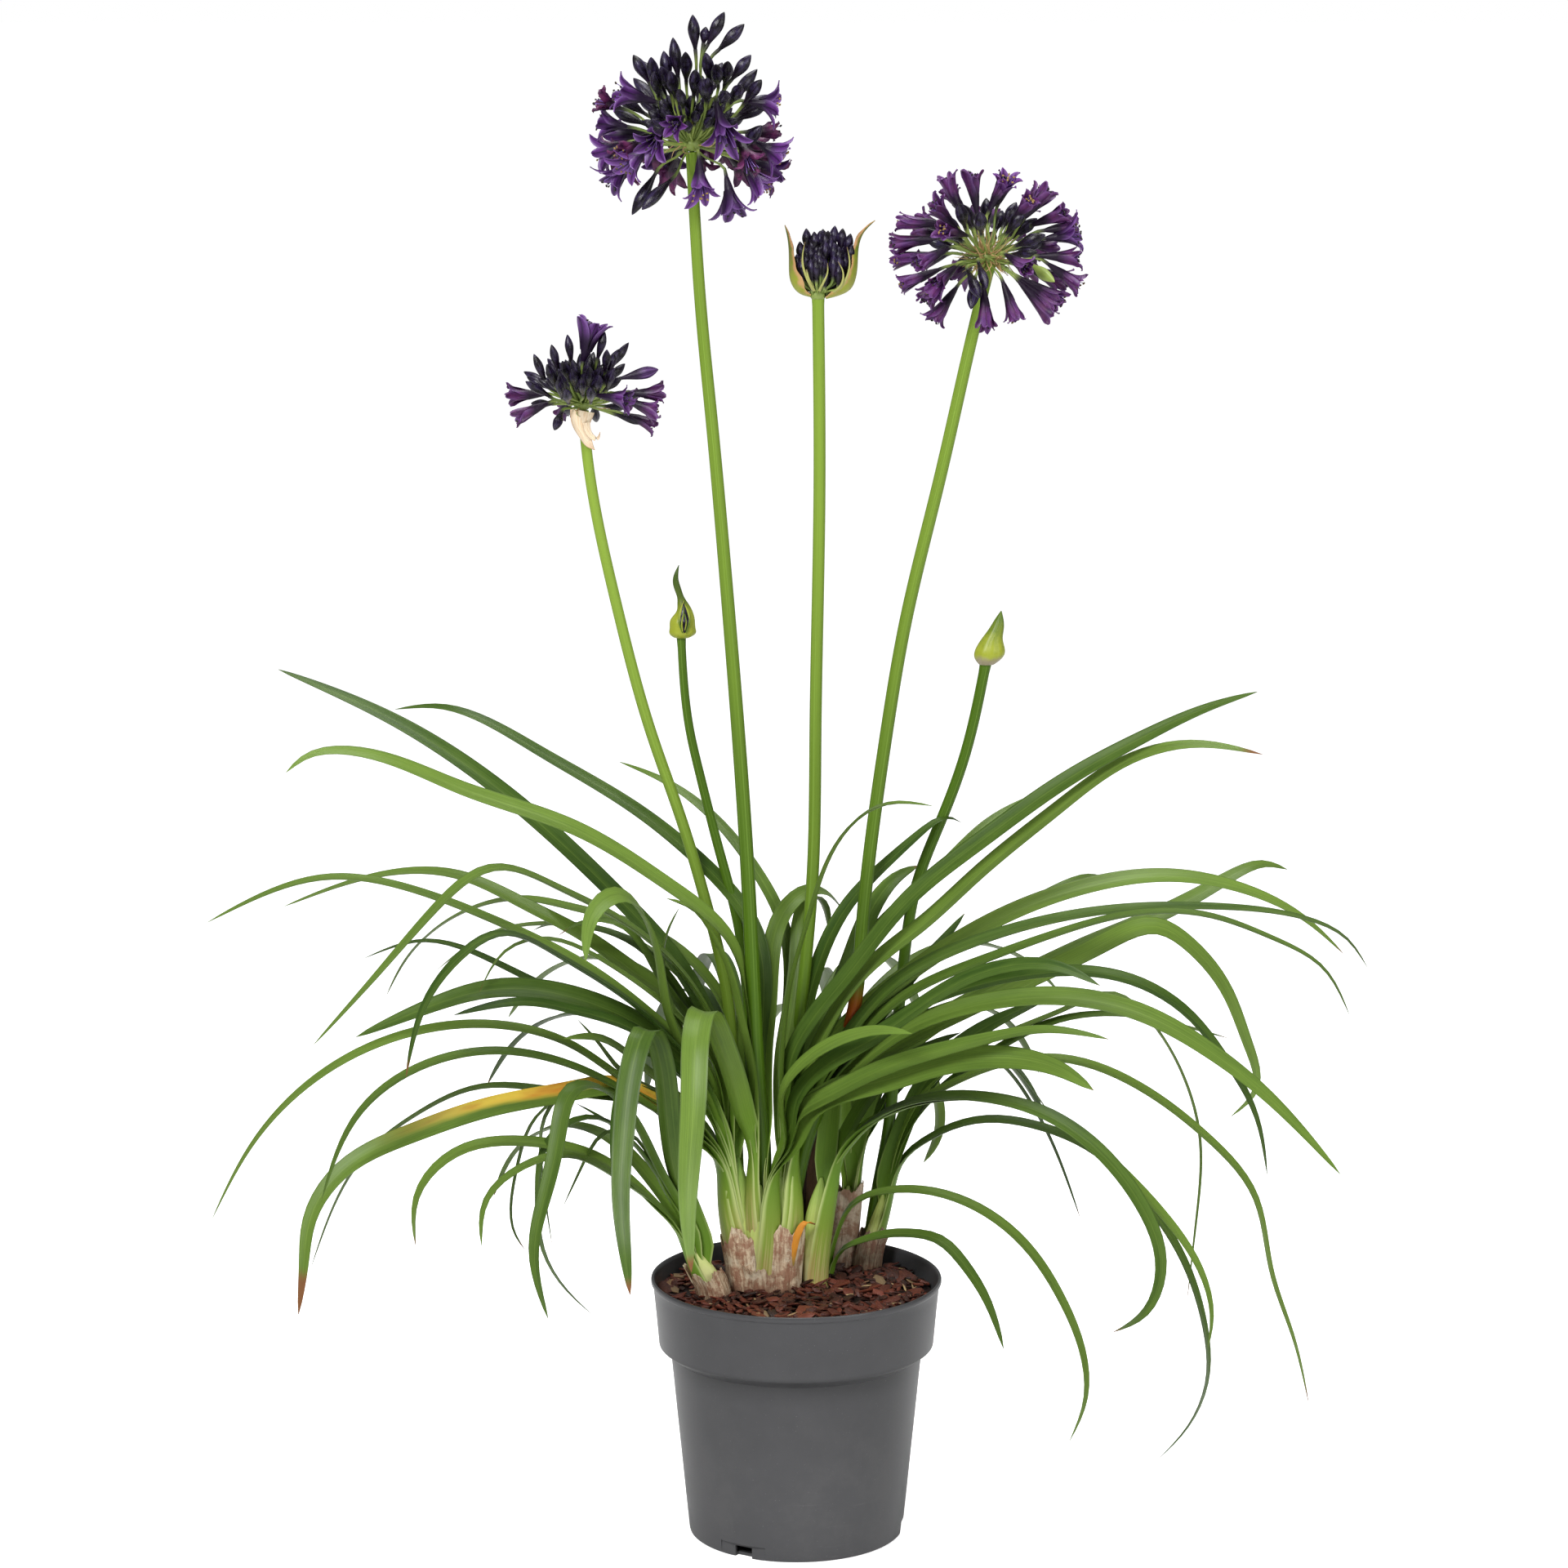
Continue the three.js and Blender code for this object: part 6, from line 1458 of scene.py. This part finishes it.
RIGHT_FLORETS = [
    [TRUMPET, [19, 29], [31, 51], -0.5],
    [TRUMPET, [13, 4], [30, 8], -0.85],
    [TRUMPET, [25, -15], [60, -34], -0.4],
    [TRUMPET, [23, -17], [51, -44], -0.5],
    [POD, [34, -5], [49, -15], -0.9],
    [OPENING, [8, 40], [14, 64], -0.3],
    [OPEN, [44, 14], [72, 20], -0.3],
    [BUD, [-18, 24], [-24, 44], -0.8],
    [BUD, [-6, 20], [-8, 38], -0.9],
    [BUD, [-16, -8], [-8, -26], -0.9],
    [TRUMPET, [-30, 8], [-58, 6], -0.8],
    [TRUMPET, [-26, -6], [-50, -22], -0.8],
    [TRUMPET, [-31, 25], [-71, 27], 0],
    [TRUMPET, [-36, 13], [-75, 13], -0.3],
    [TRUMPET, [-35, 2], [-73, -3], 0.2],
    [TRUMPET, [-36, -9], [-69, -21], -0.3],
    [TRUMPET, [-30, -10], [-53, -32], -0.6],
    [TRUMPET, [-23, -22], [-44, -49], -0.3],
    [BUD, [-10, -15], [-14, -36], -0.7],
    [TRUMPET, [-4, -19], [-1, -51], -0.8],
    [TRUMPET, [11, -17], [24, -47], -0.5],
    [TRUMPET, [24, -16], [55, -39], -0.4],
    [TRUMPET, [46, -5], [73, -24], 0],
    [TRUMPET, [39, 1], [75, 0], -0.2],
    [TRUMPET, [43, 20], [69, 24], 0],
    [TRUMPET, [34, 24], [58, 40], -0.4],
    [TRUMPET, [28, 29], [48, 53], 0],
    [TRUMPET, [1, 35], [13, 62], -0.2],
    [TRUMPET, [-8, 32], [-13, 66], 0],
    [TRUMPET, [-19, 32], [-33, 62], -0.2],
    [TRUMPET, [-23, 21], [-41, 46], -0.6],
    [TRUMPET, [-24, -5], [-46, -12], -0.7],
    [TRUMPET, [-17, 18], [-36, 33], -0.7],
    [SMALL_BUD, [-8, -2], [-3, -19], -0.9],
]
LEFT_FLORETS = [
    [SLIM_BUD, [13, 12], [15, 27], -0.8],
    [SLIM_BUD, [-4, 17], [-6, 32], -0.9],
    [SLIM_BUD, [2, 11], [2, 27], -1],
    [SLIM_BUD, [-12, 12], [-15, 29], -0.9],
    [SLIM_BUD, [20, 14], [25, 30], -0.7],
    [SMALL_BUD, [8, 6], [9, 19], -1],
    [SMALL_BUD, [-9, 5], [-10, 18], -1],
    [TRUMPET, [-28, 8], [-59, 7], 0],
    [TRUMPET, [-25, 3], [-53, -6], -0.6],
    [SLIM_BUD, [-24, 8], [-42, 21], -0.7],
    [SLIM_BUD, [-28, 17], [-37, 39], 0],
    [SLIM_BUD, [-18, 26], [-23, 47], -0.2],
    [SLIM_BUD, [-8, 32], [-11, 54], 0],
    [UPRIGHT, [1, 33], [9, 65], -0.2],
    [SLIM_BUD, [12, 35], [18, 56], 0],
    [SLIM_BUD, [18, 26], [20, 44], -0.4],
    [SLIM_BUD, [21, 25], [25, 39], 0],
    [SLIM_BUD, [19, 18], [26, 30], -0.6],
    [RIPE_BUD, [29, 20], [59, 27], 0],
    [TRUMPET, [37, 9], [64, 8], 0],
    [TRUMPET, [35, 3], [60, -4], -0.3],
    [OPENING, [12, 10], [40, 13], -0.8],
    [SMALL_BUD, [-15, -4], [-20, -16], -0.6],
    [SMALL_BUD, [8, -4], [9, -19], 0.8],
    [SLIM_BUD, [-20, 17], [-25, 35], -0.8],
    [SLIM_BUD, [-9, 21], [-13, 38], -0.9],
    [SLIM_BUD, [6, 17], [8, 34], -0.9],
    [SLIM_BUD, [-14, 9], [-16, 25], -1],
]
MIDDLE_FLORETS = [
    [SMALL_BUD, [-8, 33], [-9, 51], -0.1],
    [SMALL_BUD, [-2, 31], [-3, 49], -0.35],
    [SMALL_BUD, [6, 31], [6, 48], -0.3],
    [SMALL_BUD, [11, 35], [13, 53], 0],
    [SMALL_BUD, [17, 34], [19, 51], -0.35],
    [SMALL_BUD, [21, 30], [25, 47], 0],
    [SMALL_BUD, [-12, 24], [-14, 41], 0],
    [SMALL_BUD, [23, 22], [26, 39], -0.25],
]
# For each: its centre, its florets as above, how far their feet and tips reach, and the radius of its core.
# Filling: florets that spread() places behind and between them. Scraps: how many, and the share that is tan.
HEADS = {
    "tall": {
        "centre": (-79.6, 0, 1098), "florets": TALL_FLORETS, "reach": (46, 80), "knob": 7.5,
        "filling": [
            (8, BUD, OPEN, (46, 78), 21), (30, BUD, FADED, (44, 76), 71),
            (40, SMALL_BUD, SMALL_BUD, (24, 42), 81, (-180, 180), (0.42, 0.97)),
        ],
        "scraps": (14, 0.8),
    },
    "right": {
        "centre": (146, 25, 1011), "florets": RIGHT_FLORETS, "reach": (40, 76), "knob": 7.5,
        "filling": [
            (6, TRUMPET, TRUMPET, (40, 72), 22), (12, TRUMPET, TRUMPET, (38, 66), 72),
            (18, BUD, SMALL_BUD, (26, 48), 82, (-40, 220), (0.1, 0.96)),
        ],
        "scraps": (120, 0.7),
    },
    "left": {
        "centre": (-165.4, 30, 897), "florets": LEFT_FLORETS, "reach": (36, 64), "knob": 6.5,
        "filling": [
            (6, SLIM_BUD, TRUMPET, (36, 62), 23), (14, SLIM_BUD, SLIM_BUD, (28, 52), 73),
            (34, SLIM_BUD, SLIM_BUD, (18, 39), 83, (-180, 180), (0.5, 0.98)),
        ],
        "scraps": (8, 0.9),
    },
    "middle": {
        "centre": (16.4, 30, 981.4), "florets": MIDDLE_FLORETS, "reach": (34, 52), "knob": 6.2,
        "packed": (96, 19.5, 24),
    },
}
DROOP = 0.5  # how far an open floret that faces the front or the back nods
UPPER_FROM = 0.2  # share of the reach above which the upper kind of floret stands


def on_dome(centre, spot, reach, facing):
    """The place of a spot [x, z] on a ball about the centre, on its front or its back."""
    x, z = spot
    return centre + np.array([x, facing * math.sqrt(max(0, reach**2 - x**2 - z**2)), z])


def spread(centre, count, upper, lower, reach, seed, turns=(15, 165), rises=(-0.35, 0.85)):
    """Florets placed by the golden angle, on the far side unless told: one kind above, another below.

    The turns, in degrees, and the rises, from -1 at the bottom to 1 at the top, bound where they stand.
    """
    draw = seeded(seed)
    for i in range(count):
        rise = mix(*rises, (i + 0.5) / count)
        turn = math.radians(mix(*turns, (i * GOLDEN_SHARE) % 1))
        flat = math.sqrt(1 - rise**2)
        way = np.array([flat * math.cos(turn), flat * math.sin(turn), rise])
        foot = centre + way * reach[0] * mix(0.92, 1.08, next(draw))
        tip = centre + way * reach[1] * mix(0.95, 1.03, next(draw))
        yield (upper if rise > UPPER_FROM else lower), foot, tip


def floret(skin, centre, kind, foot, tip, dice):
    """A bud or an open floret on its pedicel."""
    axis = tip - foot
    length = np.linalg.norm(axis)
    if "petal" in kind:
        axis = axis - UP * DROOP * abs(axis[1])
    axis = unit(axis)
    pedicel(skin, centre, foot, axis, dice)
    hue = dice.uniform(0, 1)
    if "swell" in kind:
        bud(skin, foot, axis, length, kind, hue)
    else:
        star(skin, foot, axis, length, kind, hue, dice)


def scrap(skin, centre, reach, tan, dice):
    """A thin withered bracteole that curls between the feet of the pedicels."""
    way = unit(np.array([dice.uniform(-1, 1), dice.uniform(-1, 0.6), dice.uniform(-0.7, 0.8)]))
    points = [centre + way * 5]
    for _ in range(4):
        way = unit(way + dice.uniform(-0.55, 0.55, 3))
        points.append(points[-1] + way * reach * dice.uniform(0.08, 0.16))
    shade = 1.0 if dice.uniform(0, 1) < tan else 0.0
    rod(skin, points, SCRAP_RADII, 5, (shade, dice.uniform(0, 1), 0), 1, 2.0)


def bunch(centre, count, half, seed):
    """Buds that stand upright, packed between two valves: the middle ones highest."""
    draw = seeded(seed)
    for i in range(count):
        out, turn = math.sqrt((i + 0.5) / count), 2 * math.pi * GOLDEN_SHARE * i
        low = i % 3 == 0
        aside = half * out * (0.6 if low else 1) * np.array([math.cos(turn), 0.8 * math.sin(turn), 0])
        rise = 2 if low else mix(32, 9, out**1.5)
        foot = centre + EAST * 3.5 + aside + UP * (rise + mix(-2, 5, next(draw)))
        yield SMALL_BUD, foot, foot + aside * mix(0.02, 0.14, next(draw)) + UP * mix(14.5, 18, next(draw))


# Thin pale strips that curl up in front of the packed buds: [x, z] from the head's centre
STRIPS = [
    [[-4, 5], [-9, 15], [-12, 29], [-10, 42]],
    [[-3, 4], [-7, 11], [-11, 20], [-13, 29]],
    [[-4, 7], [-7, 13], [-9, 21]],
    [[1, 4], [4, 11], [7, 18], [7, 26]],
    [[12, 3], [18, 10], [19, 19], [15, 27]],
    [[16, 5], [22, 15], [24, 27], [22, 38]],
]
# The y and the half width of the points of a strip, from its foot to its tip
STRIP_DEPTHS, STRIP_HALVES = (-14, -19, -19, -19), (1.2, 0.9, 0.6, 0.3)
STRIP_CUP = 0.3


def flower_head(name, centre, florets, reach, knob, filling=(), scraps=(0, 0), packed=None):
    dice = np.random.default_rng(len(florets) * 7)
    centre = np.array(centre, float)
    skin = Skin()
    rings = []
    for level in np.linspace(-1, 1, 9):
        radius = knob * math.sqrt(1.02 - level * level)
        rings.append(oval(centre + UP * knob * level * 0.8, EAST, NORTH, radius, radius, angles(CORE_SIDES)))
    skin.cover(rings, place=(0.2, 0, 0), kind=(0, 0.5, 0), layer=1)
    for kind, foot, tip, facing in florets:
        ends = [on_dome(centre, spot, out, facing) for spot, out in zip((foot, tip), reach)]
        floret(skin, centre, kind, *ends, dice)
    for rule in filling:
        for placed in spread(centre, *rule):
            floret(skin, centre, *placed, dice)
    for _ in range(scraps[0]):
        scrap(skin, centre, reach[0], scraps[1], dice)
    if packed:
        for placed in bunch(centre, *packed):
            floret(skin, centre, *placed, dice)
        for strip in STRIPS:
            rows = [[x, y, z, half, STRIP_CUP] for (x, z), y, half in zip(strip, STRIP_DEPTHS, STRIP_HALVES)]
            cupped(skin, np.array(rows) + [*centre, 0, 0], EAST, NORTH, 0.6, 14, kind=(0.3, 1, 0), layer=1)
    slot_name = "flower_buds" if packed else "petals"
    skin.piece("umbel_" + name, "head_" + name, slot_name, PETALS, PEDICEL_GREEN, STAMENS, sharp=60)


for name, sizes in HEADS.items():
    flower_head(name, **sizes)

# ---- Closed buds --------------------------------------------------------------------------------
# Two heads are still wrapped whole in their spathes: two pale green bracts, joined edge to edge,
# that swell at the foot and draw out into a soft beak.
CLOSED_BUD_SIDES, CLOSED_BUD_ROWS = 40, 64
# Rows: [x, y, z, half width, half depth]
CLOSED_BUDS = {
    "left": [
        [-89.5, 40, 713.6, 6, 6], [-89.2, 40, 715.2, 8.6, 8.2], [-89, 40, 720.5, 9.9, 9.8],
        [-88.9, 40, 727.6, 9.2, 9], [-87.4, 40, 733.8, 6.3, 6], [-88.5, 40, 740, 4.3, 4.2],
        [-90, 40, 744.5, 2.9, 2.9], [-92.6, 40, 752, 2.7, 2.7], [-94.1, 40, 760, 2.1, 2.1],
        [-93, 40, 766, 1.2, 1.2], [-91.6, 40, 770.5, 0.2, 0.2],
    ],
    "right": [
        [149.6, 64, 688.5, 6, 6], [150.6, 64, 692.5, 10, 9.6], [152, 64, 699, 11.5, 11],
        [153.6, 64, 708, 8.3, 8], [157.2, 64, 717, 5.6, 5.4], [159.4, 64, 725, 3, 3],
        [160.8, 64, 731, 0.3, 0.3],
    ],
}
# The left one has begun to split: its dark slit, then the lips and strips in it, by rows of
# [x, y, z, half width, cup].
SLIT = [
    [-87.2, 31, 717.5, 0.2, 0], [-87.3, 29.6, 722, 1.8, 0.2], [-87.3, 30.1, 728, 3.4, 0.7],
    [-87.2, 33.2, 734, 3.0, 0.6], [-88, 35, 739.5, 1.5, 0.2], [-88.6, 36.1, 743, 0.2, 0],
]
SLIT_STRIPS = [
    [
        [-87.8, 36, 743, 0.3, 0], [-90.5, 33.4, 734, 0.9, 0.2], [-91, 30.6, 727, 1, 0.2],
        [-88.6, 29.5, 718.5, 0.3, 0],
    ],
    [
        [-88.4, 36, 742, 0.3, 0], [-84.2, 33.5, 734, 0.9, 0.2], [-83.6, 31, 727, 1, 0.2],
        [-86, 29.8, 718.5, 0.3, 0],
    ],
    [
        [-88.6, 29, 720, 0.4, 0], [-89.2, 29.2, 727, 0.6, 0], [-87.8, 32.4, 734, 0.5, 0],
        [-87.8, 34.6, 739, 0.2, 0],
    ],
    [[-86.8, 29, 721, 0.3, 0], [-85.8, 29.6, 727, 0.5, 0], [-87, 32.6, 733, 0.4, 0]],
]


def spathe_green():
    """Soft green bract: pale yellow-green at the foot, deeper green to the beak, fine upright veins."""
    material, wire = new_material("spathe_green")
    share, angle, _ = wire.mark("place")
    beak, band, inner = wire.mark("kind")
    veins = wire.noise(wire.vector(angle * 5, share * 3, beak * 3), 1, 3, 0.6)
    cloud = wire.noise(wire.spot(), 110, 3, 0.6)
    green = (share * 0.8 + cloud * 0.5 - 0.2).fade(0.25, 0.75).blend(paint(144, 152, 46), paint(78, 102, 24))
    green = (veins.fade(0.5, 0.72) * 0.14).blend(green, paint(178, 186, 96))
    green = (beak * share.fade(0.3, 0.6) * 0.8).blend(green, paint(52, 74, 18))
    green = (band * (share + cloud * 0.2 - 0.1).fade(0.2, 0.06) * 0.7).blend(green, paint(150, 132, 130))
    green = (inner * cloud.fade(0.44, 0.62) * 0.45).blend(green, paint(150, 138, 70))
    flushed = inner * (angle.size() + cloud * 0.7 - 0.35).fade(0.68, 0.95) * 0.8
    green = flushed.blend(green, paint(204, 150, 112))
    wire.finish(green, 0.3 + veins * 0.15, veins, 0.0002, Specular_IOR_Level=0.28)
    return material


SPATHE_GREEN = spathe_green()
for name, rows in CLOSED_BUDS.items():
    bud_skin = Skin()
    heights = np.linspace(rows[0][2], rows[-1][2], CLOSED_BUD_ROWS)
    centre, wide, deep = column_at(rows, heights)
    angle = angles(CLOSED_BUD_SIDES)
    rib = 1 + 0.02 * np.cos(9 * angle) + 0.03 * np.cos(2 * angle)
    rings = oval(centre[:, None], EAST, NORTH, wide * rib, deep * rib, angle)
    place = mark_of(np.linspace(0, 1, CLOSED_BUD_ROWS)[:, None], angle, heights[:, None] * 0.001)
    bud_skin.cover(rings, place=place, kind=(name == "left", name == "right", 0))
    if name == "left":
        cupped(bud_skin, SLIT, EAST, NORTH, 0.4, 24, kind=(0, 0, 0.4), layer=1)
        for strip in SLIT_STRIPS:
            cupped(bud_skin, strip, EAST, NORTH, 0.7, 16)
    bud_skin.piece("closed_bud_" + name, "bud_" + name, "bud_spathe", SPATHE_GREEN, PETALS)

# ---- Spathe and valves --------------------------------------------------------------------------
# The spathes of the open heads. Under the left head one hangs down, dried to cream paper, and round
# the middle head the two green valves have just parted and still cup the buds.
BRACT_THICKNESS, BRACT_STATIONS = 0.8, 36
# Rows: [x, y, z, half width, cup]. Each valve also has the way that it opens.
SPATHE = [
    [-165, 21.5, 893, 9.5, 3], [-166, 22, 881.5, 7, 3], [-163.5, 23, 874, 4.6, 2],
    [-160, 22, 867.5, 3, 1], [-155.5, 20, 863, 0.2, 0],
]
SPATHE_HOOK = [
    [-162, 21, 884, 3, 0.5], [-158.5, 20.5, 874, 2.2, 0.5], [-154, 20, 871.5, 1.6, 0.3],
    [-151.3, 19.5, 877, 0.2, 0],
]
VALVES = {
    "left": (EAST, [
        [10.5, 30, 980, 5, 2], [2, 30, 983, 11, 7], [-4.2, 30, 991.4, 14, 9.5],
        [-5.6, 30, 1003, 13, 5.5], [-5.8, 29, 1016, 8, 3.5], [-7, 28, 1026.5, 3.5, 2],
        [-9, 27, 1035, 0.2, 0],
    ]),
    "right": (-EAST, [
        [22.5, 30, 978.5, 5, 2], [33, 30, 981.4, 11, 7], [41.5, 30, 986.4, 14, 9],
        [45, 30, 994, 13, 7.5], [46.6, 30, 1006.4, 10, 4.5], [47.3, 30, 1017.7, 6, 4],
        [50.5, 29, 1028, 3, 2.5], [60, 28, 1038.5, 0.2, 0],
    ]),
}


def spathe_paper():
    """Dried spathe: cream paper with tan veins and browned margins."""
    material, wire = new_material("spathe_paper")
    share, across, _ = wire.mark("place")
    veins = wire.noise(wire.vector(across * 7, share * 3, 0.4), 1, 4, 0.7)
    cream = veins.fade(0.35, 0.7).blend(paint(238, 222, 196), paint(216, 186, 148))
    browned = across.size().fade(0.75, 1.0) * 0.5 + share.fade(0.6, 1.0) * 0.4
    cream = browned.blend(cream, paint(172, 124, 82))
    wire.finish(cream, 0.65 + veins * 0.2, veins, 0.0005)
    return material


spathe_skin = Skin()
cupped(spathe_skin, SPATHE_HOOK, EAST, NORTH, 0.6, 16)
cupped(spathe_skin, SPATHE, EAST, NORTH, BRACT_THICKNESS, BRACT_STATIONS, wave=0.6)
spathe_skin.piece("bract_spathe_left", "spathe_left", "papery_sheath", spathe_paper())
for name, (opening, rows) in VALVES.items():
    valve_skin = Skin()
    cupped(valve_skin, rows, NORTH, opening, BRACT_THICKNESS, BRACT_STATIONS, kind=(0, 0, 0.9), wave=0.25)
    valve_skin.piece("bract_valve_" + name, "valve_" + name, "bud_spathe", SPATHE_GREEN)
